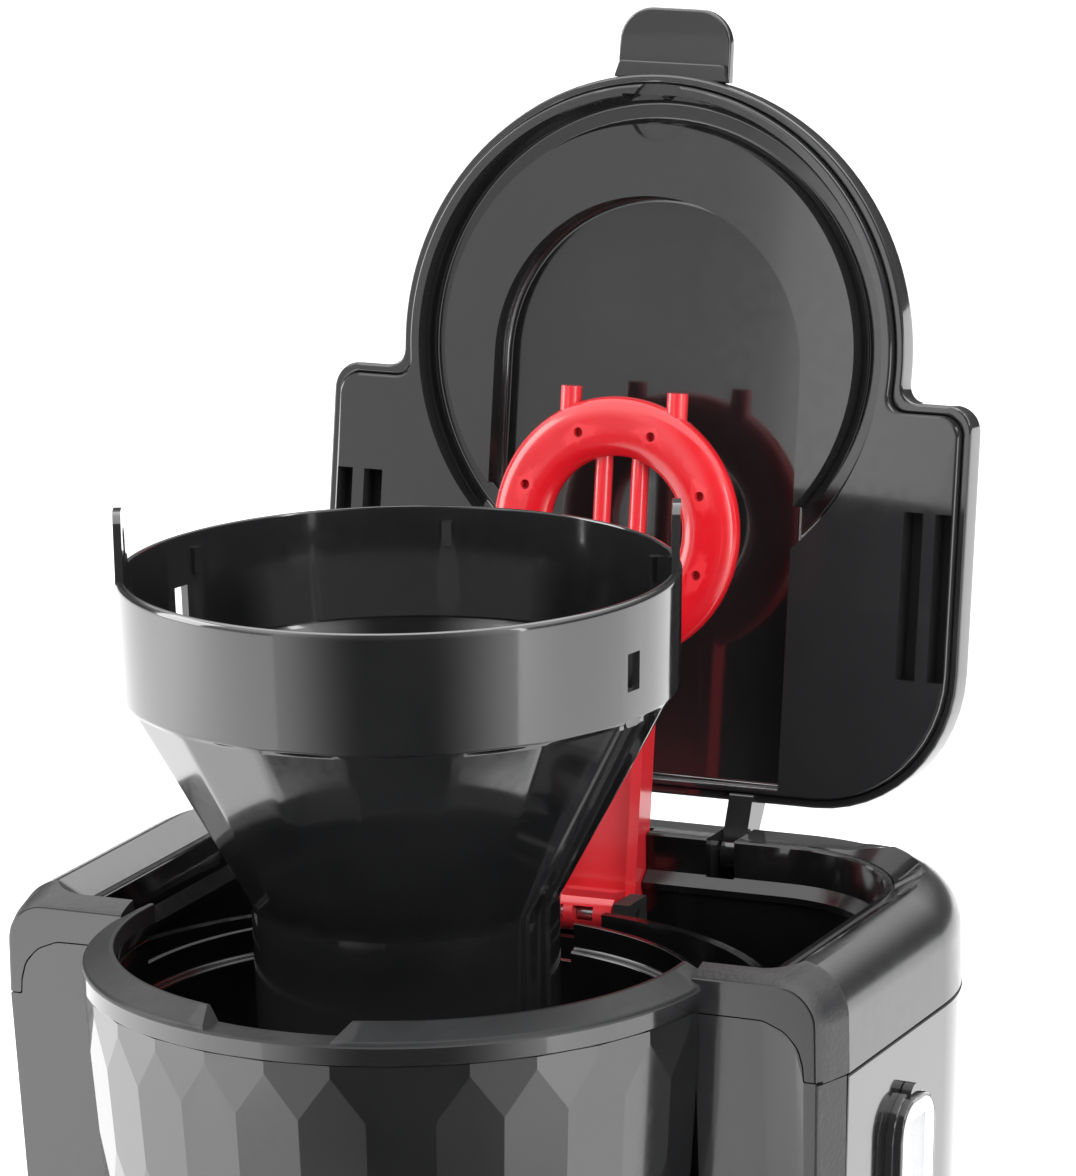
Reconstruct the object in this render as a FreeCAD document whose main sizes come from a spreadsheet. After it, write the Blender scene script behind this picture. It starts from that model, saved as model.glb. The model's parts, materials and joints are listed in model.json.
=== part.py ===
"""Drip coffee maker: a parametric assembly of separate pieces.

Frame: +Z up, the floor at z = 0, +X to the object's right-hand side seen from the
front, and -Y towards the user.  The model stands open for filling: the lid is up
against its stop, the shower head is folded back and the filter basket is lifted
out of its chamber.
"""
import FreeCAD, Part
import math
import os
import Sketcher
from FreeCAD import Placement, Rotation, Vector

DOC = FreeCAD.newDocument("coffee_maker")
SHEET = DOC.addObject("Spreadsheet::Sheet", "Dimensions")

# alias, value in millimetres or degrees
DIMENSIONS = [
    ("axis_y", -18.8), ("wall", 2.4),
    # base
    ("foot_height", 3.0), ("foot_radius", 8.0), ("foot_front_x", 56.0), ("foot_front_y", -46.0),
    ("foot_rear_x", 84.0), ("foot_rear_y", 100.0), ("base_top", 34.0), ("base_half_width", 106.0),
    ("base_front_radius", 86.0), ("base_rear", 124.0), ("base_corner", 40.0), ("base_shoulder", 26.0),
    ("cover_thickness", 2.5), ("screw_radius", 1.6), ("screw_head_radius", 3.2),
    ("boss_radius", 4.5), ("screw_x", 68.0), ("screw_front_y", -32.0), ("screw_rear_y", 104.0),
    # warming plate and heater
    ("plate_radius", 66.0), ("plate_top", 36.0), ("seal_radius", 70.0),
    ("heater_radius", 44.0), ("heater_tube", 6.0), ("heater_level", 25.5),
    # column
    ("column_half_width", 102.0), ("column_front", -3.0), ("column_rear", 121.0),
    ("column_corner", 56.0), ("corner_depth", 11.0), ("corner_width", 3.0),
    ("side_taper", 2.2), ("bay_radius", 76.0), ("seam_level", 280.0),
    ("shoulder_seam", 293.4), ("deck_level", 304.8), ("rear_deck", 300.6), ("deck_round", 12.0),
    ("opening_half_width", 85.0), ("opening_front", 4.0), ("opening_rear", 108.5),
    ("opening_corner", 38.0),
    # ring around the filter opening
    ("ring_top", 300.0), ("ring_radius", 72.0), ("ring_inner", 64.7), ("ring_rise", 3.1),
    ("ring_band", 5.0), ("notch_half_width", 15.5),
    # faceted housing and filter chamber
    ("housing_bottom", 160.0), ("facet_radius", 71.4), ("facet_row", 29.6),
    ("facet_first_row", 287.0), ("chamber_radius", 62.9), ("chamber_ledge", 284.0),
    ("chamber_step", 245.5), ("chamber_neck", 197.0), ("neck_radius", 36.6),
    ("chamber_floor", 166.5), ("outlet_radius", 12.0),
    # water tank
    ("tank_half_width", 83.0), ("tank_front", 10.0), ("tank_rear", 106.0),
    ("tank_bottom", 60.0), ("tank_top", 288.0), ("tank_bay", 80.0), ("tank_corner", 34.0),
    # lid
    ("hinge_y", 116.7), ("hinge_z", 294.7), ("lid_open", 99.65), ("lid_radius", 63.8),
    ("lid_half_width", 81.5), ("lid_rear", 12.0), ("lid_front", 108.0), ("lid_corner", 34.0),
    ("lid_top", 12.0), ("knuckle_inner", 27.0), ("knuckle_outer", 33.0),
    ("knuckle_radius", 4.0), ("hinge_pin_radius", 2.0), ("tab_half_width", 14.2),
    ("tab_reach", 196.0), ("groove_radius", 57.0), ("groove_width", 5.0),
    ("arch_radius", 39.0), ("arch_depth", 7.6), ("arch_reach", 113.0),
    # shower head
    ("pivot_y", 90.0), ("pivot_z", 285.0), ("head_reach", 88.5), ("head_rise", 12.5),
    ("head_radius", 24.0), ("head_tube", 7.0), ("head_half_depth", 4.0),
    ("arm_half_width", 10.0), ("pivot_pin_radius", 2.0), ("bracket_level", 262.0),
    ("bracket_half_width", 16.0), ("cheek", 4.0),
    # filter basket
    ("basket_lift", 115.0), ("basket_rim", 272.0), ("basket_radius", 62.2),
    ("basket_band", 27.0), ("basket_neck_radius", 34.2), ("basket_neck", 197.5),
    ("basket_bottom", 167.0), ("basket_wall", 1.8), ("ear_height", 14.0), ("ear_turn", 24.0),
    ("ear_half_width", 9.5), ("ear_slot", 5.0), ("drain_radius", 3.4), ("stem_radius", 2.0),
    ("spring_radius", 3.6), ("spring_pitch", 2.1), ("spring_wire", 0.35), ("spring_height", 12.0),
    # carafe
    ("carafe_bottom", 37.0), ("carafe_radius", 69.0), ("carafe_base_radius", 60.0),
    ("carafe_neck_radius", 50.0), ("carafe_shoulder", 100.0), ("carafe_neck", 136.0),
    ("glass_wall", 2.4), ("lid_level", 158.0), ("handle_reach", 122.0),
    ("handle_half_width", 9.0),
    # level gauge
    ("gauge_y", 41.9), ("gauge_half_width", 11.2), ("gauge_top", 267.0),
    ("gauge_bottom", 150.0), ("gauge_depth", 4.0),
    # cord gland
    ("gland_x", -60.0), ("gland_z", 19.0),
    # hoses
    ("riser_y", 93.5), ("supply_x", -32.0), ("supply_y", 94.0), ("hose_radius", 5.5),
    ("hose_bore", 3.5), ("hose_bend", 10.0), ("hose_hole", 8.0), ("chase_radius", 8.0),
    ("drain_bore", 3.0), ("riser_foot", 54.0), ("riser_top", 270.0), ("valve_foot", 48.0),
    # switch
    ("switch_level", 18.5), ("switch_half_width", 10.0), ("switch_half_height", 6.5),
    ("lamp_radius", 1.6), ("lamp_y", -77.0),
]


class Dim:
    """A number that remembers the sheet expression it comes from."""

    def __init__(self, value, text):
        self.value = float(value)
        self.text = text

    def _join(self, other, sign, value):
        return Dim(value, "(%s %s %s)" % (self.text, sign, words(other)))

    def __add__(self, other):
        return self._join(other, "+", self.value + number(other))

    def __sub__(self, other):
        return self._join(other, "-", self.value - number(other))

    def __mul__(self, other):
        return self._join(other, "*", self.value * number(other))

    def __neg__(self):
        return Dim(-self.value, "(-1 * %s)" % self.text)


def number(item):
    return item.value if isinstance(item, Dim) else float(item)


def words(item):
    return item.text if isinstance(item, Dim) else "(%.6g)" % item


class Sizes:
    """The sheet's cells, read back as attributes."""


D = Sizes()
for row, (alias, value) in enumerate(DIMENSIONS, start=1):
    SHEET.set("A%d" % row, alias.replace("_", " "))
    SHEET.set("B%d" % row, "%g" % value)
    SHEET.setAlias("B%d" % row, alias)
    setattr(D, alias, Dim(value, "Dimensions." + alias))
DOC.recompute()

PARTS = []


def bind(item, prop, size):
    """Set a property and bind it to the sheet."""
    if isinstance(size, Dim):
        item.setExpression(prop, size.text)
    elif "." in prop:
        item.setExpression(prop, "%.6g" % size)
    else:
        setattr(item, prop, size)


SHIFTS = {}


def place(item, x=0, y=0, z=0):
    SHIFTS[item.Name] = y
    for key, size in (("x", x), ("y", y), ("z", z)):
        if isinstance(size, Dim) or size:
            bind(item, "Placement.Base." + key, size)
    return item


def name_part(item, label, lift=0):
    """Give a sub-part its node name and its place in the assembly."""
    item.Label = label
    bind(item, "Placement.Base.y", D.axis_y + SHIFTS.get(item.Name, 0))
    if isinstance(lift, Dim):
        bind(item, "Placement.Base.z", lift)
    PARTS.append(item)
    return item


def swing_part(item, label, y, z):
    """Place a piece drawn closed about its hinge, turned back by the lid's opening."""
    item.Placement = Placement(Vector(0, 0, 0), Rotation(Vector(1, 0, 0), -1))
    bind(item, "Placement.Base.y", D.axis_y + y)
    bind(item, "Placement.Base.z", z)
    bind(item, "Placement.Rotation.Angle", -D.lid_open)
    item.Label = label
    PARTS.append(item)
    return item


# ---------------------------------------------------------------- primitives

def box(x, y, z):
    """A box between two values along each axis."""
    item = DOC.addObject("Part::Box", "Box")
    for prop, (low, high) in zip(("Length", "Width", "Height"), (x, y, z)):
        high = high if isinstance(high, Dim) else Dim(high, "(%.6g)" % high)
        bind(item, prop, high - low)
    return place(item, x[0], y[0], z[0])


def cylinder(radius, low, high, x=0, y=0):
    item = DOC.addObject("Part::Cylinder", "Cylinder")
    high = high if isinstance(high, Dim) else Dim(high, "(%.6g)" % high)
    bind(item, "Radius", radius)
    bind(item, "Height", high - low)
    return place(item, x, y, low)


def rod(radius, low, high, y, z):
    """A cylinder along X."""
    item = DOC.addObject("Part::Cylinder", "Rod")
    high = high if isinstance(high, Dim) else Dim(high, "(%.6g)" % high)
    item.Placement = Placement(Vector(0, 0, 0), Rotation(Vector(0, 1, 0), 90))
    bind(item, "Radius", radius)
    bind(item, "Height", high - low)
    return place(item, low, y, z)


def fuse(*items):
    item = DOC.addObject("Part::MultiFuse", "Fuse")
    item.Shapes = list(items)
    return item


def cut(base, *tools):
    item = DOC.addObject("Part::Cut", "Cut")
    item.Base = base
    item.Tool = fuse(*tools) if len(tools) > 1 else tools[0]
    return item


def common(*items):
    item = DOC.addObject("Part::MultiCommon", "Common")
    item.Shapes = list(items)
    return item


def round_edges(base, radius, wanted):
    """Round the edges that the test picks."""
    DOC.recompute()
    item = DOC.addObject("Part::Fillet", "Fillet")
    item.Base = base
    edges = enumerate(base.Shape.Edges, start=1)
    item.Edges = [(i, number(radius), number(radius)) for i, edge in edges if wanted(edge)]
    return item


def is_upright(edge):
    ends = [vertex.Point for vertex in edge.Vertexes]
    if len(ends) != 2:
        return False
    run = ends[1] - ends[0]
    return run.Length > 1 and abs(run.z) > 0.95 * run.Length


# ---------------------------------------------------------------- sketched bodies

PLANES = {"XY": "XY_Plane", "XZ": "XZ_Plane", "YZ": "YZ_Plane"}


def new_body(name):
    return DOC.addObject("PartDesign::Body", name)


def sketch(body, plane, points, level=0):
    """A closed polygon whose corners are all bound to the sheet."""
    item = body.newObject("Sketcher::SketchObject", "Sketch")
    origin = [f for f in body.Origin.OriginFeatures if f.Role == PLANES[plane]][0]
    item.AttachmentSupport = [(origin, "")]
    item.MapMode = "FlatFace"
    if isinstance(level, Dim) or level:
        bind(item, "AttachmentOffset.Base.z", level)
    corners = [Vector(number(a), number(b), 0) for a, b in points]
    count = len(corners)
    for i in range(count):
        item.addGeometry(Part.LineSegment(corners[i], corners[(i + 1) % count]))
    for i in range(count):
        item.addConstraint(Sketcher.Constraint("Coincident", i, 2, (i + 1) % count, 1))
    for i, pair in enumerate(points):
        for kind, size in zip(("DistanceX", "DistanceY"), pair):
            index = item.addConstraint(Sketcher.Constraint(kind, -1, 1, i, 1, number(size)))
            if isinstance(size, Dim):
                item.setExpression("Constraints[%d]" % index, size.text)
    return item


def revolve(points, angle=360.0):
    """A body turned from a polygon of (radius, level) points about the Z axis."""
    body = new_body("Turned")
    outline = sketch(body, "XZ", points)
    turn = body.newObject("PartDesign::Revolution", "Revolution")
    turn.Profile = outline
    turn.ReferenceAxis = (outline, ["V_Axis"])
    turn.Angle = angle
    body.Tip = turn
    return body


def pad(plane, points, length, level=0, midplane=False):
    body = new_body("Padded")
    outline = sketch(body, plane, points, level)
    block = body.newObject("PartDesign::Pad", "Pad")
    block.Profile = outline
    bind(block, "Length", length)
    block.Midplane = midplane
    body.Tip = block
    return body


def round_body(body, radius, wanted):
    """A PartDesign fillet on the picked edges of a body."""
    DOC.recompute()
    tip = body.Tip
    names = ["Edge%d" % i for i, e in enumerate(tip.Shape.Edges, start=1) if wanted(e)]
    item = body.newObject("PartDesign::Fillet", "Fillet")
    item.Base = (tip, names)
    bind(item, "Radius", radius)
    body.Tip = item
    return body


def tapered_pad(points, top, length, angle):
    """A body padded downwards from its top level, shrinking all round as it goes."""
    body = pad("XY", points, length, top)
    body.Tip.Reversed = True
    bind(body.Tip, "TaperAngle", -angle)
    return body


# ---------------------------------------------------------------- base

def base_outline(inset, low, high):
    """The base's plan: a round front that runs into a square-shouldered rear."""
    front = cylinder(D.base_front_radius - inset, low, high)
    half = D.base_half_width - inset
    rear = box((-half, half), (D.column_front + inset + 3, D.base_rear - inset), (low, high))
    rear = round_edges(rear, D.base_corner - inset, rear_edge)
    rear = round_edges(rear, D.base_shoulder - inset, front_edge)
    return fuse(front, rear)


def rear_edge(edge):
    return is_upright(edge) and edge.CenterOfMass.y > 60


def front_edge(edge):
    return is_upright(edge) and edge.CenterOfMass.y < 20


def foot_places():
    pairs = ((D.foot_front_x, D.foot_front_y), (D.foot_rear_x, D.foot_rear_y))
    return [(x * side, y) for side in (-1, 1) for x, y in pairs]


def make_base():
    outer = base_outline(0, D.foot_height, D.base_top)
    hollow = base_outline(D.wall.value, D.foot_height - 1, D.base_top - D.wall)
    hole = cylinder(D.seal_radius + 0.2, D.base_top - 6, D.base_top + 1)
    window = box((-D.switch_half_width, D.switch_half_width), (-90, -80),
                 (D.switch_level - D.switch_half_height, D.switch_level + D.switch_half_height))
    shell = cut(outer, hollow, hole, window)
    bosses = [cylinder(D.boss_radius, 12.0, D.base_top - 1, x, y) for x, y in screw_places()]
    drills = [cylinder(D.screw_radius, 11.0, 24.0, x, y) for x, y in screw_places()]
    lamp = cylinder(D.lamp_radius, 30.0, 36.0, 0, D.lamp_y)
    risers = [cylinder(D.hose_hole, 30.0, 36.0, x, y) for x, y in (supply_place(), riser_place())]
    gland = cylinder(5.0, -8.0, 8.0)
    gland.Placement = Placement(Vector(0, 0, 0), Rotation(Vector(1, 0, 0), 90))
    place(gland, D.gland_x, D.base_rear + 2, D.gland_z)
    name_part(cut(fuse(shell, *bosses), *drills, lamp, *risers, gland), "base_shell")

    inset = D.wall.value + 0.3
    plate = base_outline(inset, D.foot_height, D.foot_height + D.cover_thickness)
    holes = [cylinder(D.screw_radius + 0.4, 0.0, 8.0, x, y) for x, y in screw_places()]
    name_part(cut(plate, *holes), "base_cover")

    feet = [cylinder(D.foot_radius, 0.0, D.foot_height, x, y) for x, y in foot_places()]
    name_part(fuse(*feet), "rubber_feet")

    screws = []
    for x, y in screw_places():
        screws.append(cylinder(D.screw_radius, 3.0, 22.0, x, y))
        screws.append(cylinder(D.screw_head_radius, 1.2, D.foot_height, x, y))
    name_part(fuse(*screws), "base_screws")


def screw_places():
    return [(D.screw_x * side, y) for side in (-1, 1) for y in (D.screw_front_y, D.screw_rear_y)]


def make_heating():
    top = D.plate_top
    name_part(revolve([(0, top - 3), (D.plate_radius, top - 3), (D.plate_radius, top + 0.5),
                       (D.plate_radius - 3, top + 0.5), (D.plate_radius - 4, top), (0, top)]),
              "warming_plate")
    name_part(revolve([(D.plate_radius, top - 4), (D.seal_radius, top - 4),
                       (D.seal_radius, top - 1.5), (D.plate_radius + 2, top + 0.8),
                       (D.plate_radius, top + 0.8)]), "plate_seal")
    tube = DOC.addObject("Part::Torus", "Torus")
    bind(tube, "Radius1", D.heater_radius)
    bind(tube, "Radius2", D.heater_tube)
    tube.Angle3 = 290
    tube.Placement = Placement(Vector(0, 0, 0), Rotation(Vector(0, 0, 1), 125))
    place(tube, 0, 0, D.heater_level)
    land = box((-60, 60), (-60, 60), (D.plate_top - 3, 60.0))
    name_part(cut(tube, land), "heater_tube")

    clip = box((-12, 12), (-54, -33), (16.5, 19.4))
    name_part(clip, "heater_clip")
    name_part(cylinder(8.0, 20.0, D.plate_top - 3, -18.0, 0.0), "thermostat")
    fuse_body = rod(3.0, -4.0, 14.0, 12.0, 28.5)
    name_part(fuse_body, "thermal_fuse")


# ---------------------------------------------------------------- hoses

def tube_along(points, bend, outer, inner):
    """A hose along straight runs joined by tangent arcs."""
    edges = []
    start = points[0]
    for before, corner, after in zip(points, points[1:], points[2:]):
        back = (before - corner).normalize()
        ahead = (after - corner).normalize()
        half = back.getAngle(ahead) / 2
        reach = bend / math.tan(half)
        enter = corner + back * reach
        leave = corner + ahead * reach
        middle = (back + ahead).normalize()
        centre = corner + middle * (bend / math.sin(half))
        edges.append(Part.makeLine(start, enter))
        edges.append(Part.Arc(enter, centre - middle * bend, leave).toShape())
        start = leave
    edges.append(Part.makeLine(start, points[-1]))
    path = Part.Wire(edges)
    heading = points[1] - points[0]
    solids = []
    for radius in (outer, inner):
        ring = Part.Wire(Part.makeCircle(radius, points[0], heading))
        solids.append(path.makePipeShell([ring], True, False))
    return solids[0].cut(solids[1])


def hose(label, points):
    item = DOC.addObject("Part::Feature", "Hose")
    path = [Vector(*p) for p in points]
    item.Shape = tube_along(path, D.hose_bend.value, D.hose_radius.value, D.hose_bore.value)
    name_part(item, label)


def riser_place():
    return (0.0, D.riser_y.value)


def supply_place():
    return (D.supply_x.value, D.supply_y.value)


def make_hoses():
    level = D.heater_level.value
    turn = math.radians(55)
    end_x = D.heater_radius.value * math.cos(turn)
    end_y = D.heater_radius.value * math.sin(turn)
    knee_x, knee_y, back_y = 9.5, end_y + 11, 72.0
    supply_x, supply_y = supply_place()
    riser_x, riser_y = riser_place()
    valve_foot, riser_foot = D.valve_foot.value, D.riser_foot.value
    hose("supply_hose", [(-end_x, end_y, level), (-knee_x, knee_y, level),
                         (-knee_x - 4, back_y, level), (supply_x, supply_y, level),
                         (supply_x, supply_y, valve_foot)])
    hose("riser_hose", [(end_x, end_y, level), (knee_x, knee_y, level),
                        (knee_x - 5, back_y, level), (riser_x, riser_y, level),
                        (riser_x, riser_y, riser_foot)])
    name_part(cut(cylinder(D.hose_hole, valve_foot, D.tank_bottom, supply_x, supply_y),
                  cylinder(D.drain_bore, valve_foot - 1, D.tank_bottom + 1, supply_x, supply_y)),
              "check_valve")
    name_part(cut(cylinder(D.hose_radius, riser_foot, D.riser_top, riser_x, riser_y),
                  cylinder(D.hose_bore, riser_foot - 1, D.riser_top + 1, riser_x, riser_y)),
              "riser_tube")


# ---------------------------------------------------------------- column

def column_plan(inset):
    """The column's plan at its top: the front corners are cut off at a slant."""
    half = D.column_half_width - inset
    front = D.column_front + inset
    rear = D.column_rear - inset
    width, depth = D.corner_width, D.corner_depth
    return [(-half + width, front), (half - width, front), (half, front + depth),
            (half, rear), (-half, rear), (-half, front + depth)]


def column_block(inset, low, high):
    """The column's tapered block with round rear corners."""
    block = tapered_pad(column_plan(inset), high, high - low, D.side_taper)
    return round_body(block, D.column_corner - inset, rear_edge)


def taper_shift(level):
    """How far a side has come in at a level below the column's top."""
    slope = math.tan(math.radians(D.side_taper.value))
    return (D.seam_level - level) * slope


def housing_profile(low):
    """The faceted housing's radius at each row's edge, as a closed turned profile."""
    points = [(0, D.seam_level + 1), (D.facet_radius, D.seam_level + 1)]
    for top, radius, _ in facet_rows()[1:]:
        if top < D.seam_level.value:
            points.append((radius, top))
    points.append((housing_foot(), low))
    return points + [(0, low)]


def make_column():
    low = D.base_top
    outer = column_block(0.0, low, D.seam_level)
    inner = column_block(D.wall.value, low - 1, D.seam_level)
    bay = cylinder(D.bay_radius, low - 2, D.housing_bottom)
    shell = cut(outer, inner, bay, revolve(housing_profile(D.housing_bottom)))
    inward = taper_shift(low).value
    split = D.column_front.value + D.corner_depth.value + inward
    rear_zone = box((-110, 110), (split, 130), (low - 2, D.seam_level + 2))
    name_part(common(shell, rear_zone), "column_shell")
    edge = D.column_half_width.value - D.corner_width.value - inward - 0.5
    for side, label in ((1, "right"), (-1, "left")):
        span = (edge, 110.0) if side > 0 else (-110.0, -edge)
        zone = box(span, (-10, split), (low - 2, D.seam_level + 2))
        name_part(common(shell, zone), "corner_strip_" + label)
        span = (40.0, edge) if side > 0 else (-edge, -40.0)
        face = box(span, (-10, split), (low - 2, D.seam_level + 2))
        name_part(common(shell, face), "shoulder_panel_" + label)
    wall = cut(cylinder(D.bay_radius + D.wall, low, D.housing_bottom),
               cylinder(D.bay_radius, low - 1, D.housing_bottom + 1))
    name_part(common(wall, inner), "bay_wall")


def make_tank():
    half = D.tank_half_width
    wall = D.wall.value
    outer = box((-half, half), (D.tank_front, D.tank_rear), (D.tank_bottom, D.tank_top))
    outer = round_edges(outer, D.tank_corner, rear_edge)
    inner = box((-half + wall, half - wall), (D.tank_front + wall, D.tank_rear - wall),
                (D.tank_bottom + wall, D.tank_top + 1))
    inner = round_edges(inner, D.tank_corner - wall, rear_edge)
    bulge = cylinder(D.tank_bay, D.tank_bottom - 1, D.tank_top + 1)
    skin = cylinder(D.tank_bay + wall, D.tank_bottom - 2, D.tank_top + 2)
    riser_x, riser_y = riser_place()
    chase = cylinder(D.chase_radius, D.tank_bottom - 1, D.bracket_level, riser_x, riser_y)
    chase_hole = cylinder(D.chase_radius - 1.8, D.tank_bottom - 2, D.bracket_level + 1, riser_x, riser_y)
    drain = cylinder(D.drain_bore, D.tank_bottom - 2, D.tank_bottom + 4, *supply_place())
    body = cut(outer, bulge, cut(inner, skin, chase), chase_hole, drain,
               head_notch(), foot_gap())
    name_part(body, "water_tank")


def head_notch():
    """The way for the shower head's foot and arm through the rear walls."""
    half = D.arm_half_width + 1.5
    return box((-half, half), (D.pivot_y + 8, D.opening_rear + 2.5),
               (D.pivot_z - 12, D.deck_level + 3))


def foot_gap():
    """The gap in the walls in front of the shower head's foot."""
    half = D.arm_half_width + 1.5
    return box((-half, half), (D.chamber_radius - 3, D.pivot_y - 3),
               (D.pivot_z - 3.5, D.deck_level + 3))


# ---------------------------------------------------------------- top collar and chamber

def opening_block(inset, low, high):
    """The filling opening: straight sides and round rear corners."""
    half = D.opening_half_width - inset
    block = box((-half, half), (D.opening_front + inset, D.opening_rear - inset), (low, high))
    return round_edges(block, D.opening_corner - inset, rear_edge)


def make_collar():
    low = D.seam_level
    block = pad("XY", column_plan(0.0), D.deck_level - low, low)
    block = round_body(block, D.column_corner, rear_edge)
    block = round_body(block, D.deck_round, lambda e: deck_edge(e, D.deck_level.value))
    hollow = pad("XY", column_plan(D.wall.value), D.deck_level - low - 3, low - 1)
    hollow = round_body(hollow, D.column_corner - D.wall, rear_edge)
    hollow = round_body(hollow, D.deck_round - D.wall,
                        lambda e: deck_edge(e, D.deck_level.value - 4))
    well = cylinder(D.ring_radius - 2, low - 2, D.deck_level + 2)
    shoulder = box((-88, 88), (-6, 1), (low - 2, D.shoulder_seam))
    ring = revolve([(D.ring_inner, D.ring_top - 3), (D.ring_radius - 2, D.ring_top - D.ring_band),
                    (D.ring_radius, D.ring_top - D.ring_band), (D.ring_radius, D.ring_top - 0.8),
                    (D.ring_radius - 0.8, D.ring_top), (D.ring_inner, D.ring_top + D.ring_rise)])
    front = box((-80, 80), (-80, D.column_front + 1), (low, D.deck_level + 2))
    notch = box((-D.notch_half_width, D.notch_half_width), (-90, -50),
                (D.ring_top - 0.4, D.deck_level + 2))
    shell = cut(block, hollow, well, opening_block(0.0, low - 2, D.deck_level + 2), shoulder)
    hinge_wall = box((-40, 40), (D.opening_rear, D.column_rear - 1.5), (low + 4, D.deck_level - 2))
    slots = [box(span, (D.opening_rear - 3, D.column_rear + 1), (low + 2, D.deck_level + 1))
             for span in knuckle_slots()]
    pin_hole = rod(D.hinge_pin_radius, -36.0, 36.0, D.hinge_y, D.hinge_z)
    whole = fuse(shell, cut(common(ring, front), notch), hinge_wall)
    name_part(cut(whole, pin_hole, rear_rebate(), head_notch(), *slots), "top_collar")
    frame = cut(opening_block(0.1, D.tank_top, D.deck_level - 2),
                opening_block(2.1, D.tank_top + 3, D.deck_level + 1),
                opening_block(6.0, D.tank_top - 1, D.tank_top + 4),
                cylinder(D.ring_radius + 0.5, D.tank_top - 2, D.deck_level + 2), rear_rebate(),
                head_notch(), *slots)
    name_part(frame, "opening_liner")
    skins = [box(span, (column_y(0), column_y(1)), (low, D.shoulder_seam))
             for span in ((-87.8, -71.5), (71.5, 87.8))]
    name_part(fuse(*skins), "shoulder_faces")
    pins = [rod(D.hinge_pin_radius, low_x, low_x + 12.0, D.hinge_y, D.hinge_z)
            for low_x in (-36.0, 24.0)]
    name_part(fuse(*pins), "lid_hinge_pins")


def column_y(step):
    """The front skin of the shoulders: its outer and inner planes."""
    return D.column_front + step * D.wall.value


def rear_rebate():
    """The rear deck drops between the corners, so the lid's rear edge can swing past it."""
    return box((-62, 62), (D.opening_rear - 8, D.column_rear + 10), (D.rear_deck, D.deck_level + 5))


def knuckle_slots():
    low = D.knuckle_inner.value - 0.5
    high = D.knuckle_outer.value + 0.5
    return [(low, high), (-high, -low)]


def deck_edge(edge, level):
    box_of = edge.BoundBox
    return box_of.ZMin > level - 0.01 and box_of.ZMax < level + 0.01


FACET_LEANS = [0.0, 4.5, 8.0, 10.5, 12.5]
FACET_TURN = 12.0


def facet_rows():
    """Each row's top level, its radius there and its inward lean in degrees."""
    radius = D.facet_radius.value
    top = D.facet_first_row.value
    rows = [(top, radius, FACET_LEANS[0])]
    for lean in FACET_LEANS[1:]:
        rows.append((top, radius, lean))
        radius -= D.facet_row.value * math.tan(math.radians(lean))
        top -= D.facet_row.value
    return rows


def housing_foot():
    """The faceted housing's radius at its bottom."""
    top, radius, lean = facet_rows()[-1]
    return radius - (top - D.housing_bottom.value) * math.tan(math.radians(lean))


def faceted_block(shrink, low, high):
    """A round block cut back by rows of flat facets, each row staggered by half a facet."""
    corner_radius = (D.facet_radius.value - shrink) / math.cos(math.radians(FACET_TURN / 2))
    shape = Part.makeCylinder(corner_radius, high - low, Vector(0, 0, low))
    for row, (top, radius, lean) in enumerate(facet_rows()):
        stagger = 0.5 if row % 2 == 0 else 0.0
        for index in range(-9, 9):
            slab = Part.makeBox(60, 40, 400, Vector(-30, -40, -300))
            slab.rotate(Vector(0, 0, 0), Vector(1, 0, 0), lean)
            slab.translate(Vector(0, -(radius - shrink), top))
            slab.rotate(Vector(0, 0, 0), Vector(0, 0, 1), FACET_TURN * (index + stagger))
            shape = shape.cut(slab)
    return shape


def make_housing():
    low = D.housing_bottom.value
    high = (D.ring_top - D.ring_band).value
    outer = faceted_block(0.0, low, high)
    lining = faceted_block(D.wall.value, low - 1, high + 1)
    rear = Part.makeBox(200, 200, 300, Vector(-100, 12, low - 5))
    sleeve = DOC.addObject("Part::Feature", "Facets")
    sleeve.Shape = outer.cut(lining).cut(rear)
    column = column_block(0.0, D.base_top, D.seam_level)
    brow = box((-90, 90), (D.column_front, 30), (D.seam_level - 1, D.ring_top))
    name_part(cut(sleeve, column, brow), "faceted_housing")
    front = cut(cylinder(housing_foot() - D.wall.value - 0.3, low, D.housing_bottom + 2.4),
                box((-90, 90), (D.column_front, 90), (low - 1, D.housing_bottom + 4)))
    back = cut(cylinder(D.bay_radius - 0.2, low, D.housing_bottom + 2.4),
               box((-90, 90), (-90, D.column_front + 8), (low - 1, D.housing_bottom + 4)))
    bridge = box((-40, 40), (D.column_front - 1, D.column_front + 9), (low, D.housing_bottom + 2.4))
    outlet = cylinder(D.outlet_radius + 2, low - 1, D.housing_bottom + 5)
    name_part(cut(fuse(front, back, bridge), outlet), "housing_floor")


def make_chamber():
    wall = 1.4
    r, neck = D.chamber_radius, D.neck_radius
    floor = D.chamber_floor
    bowl = revolve([(D.outlet_radius, floor - 2), (neck + wall, floor - 2),
                    (neck + wall, D.chamber_neck - 0.8), (r + wall, D.chamber_step - 0.8),
                    (r + wall, D.chamber_ledge - 2), (D.ring_inner + 1.6, D.chamber_ledge - 2),
                    (D.ring_inner + 1.6, D.ring_top - 4), (D.ring_inner, D.ring_top - 4),
                    (D.ring_inner, D.chamber_ledge), (r, D.chamber_ledge), (r, D.chamber_step),
                    (neck, D.chamber_neck), (neck, floor), (D.outlet_radius, floor)])
    rear = box((-80, 80), (0, 80), (D.chamber_ledge + 6, D.ring_top + 2))
    name_part(cut(bowl, rear, foot_gap()), "filter_chamber")


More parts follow.
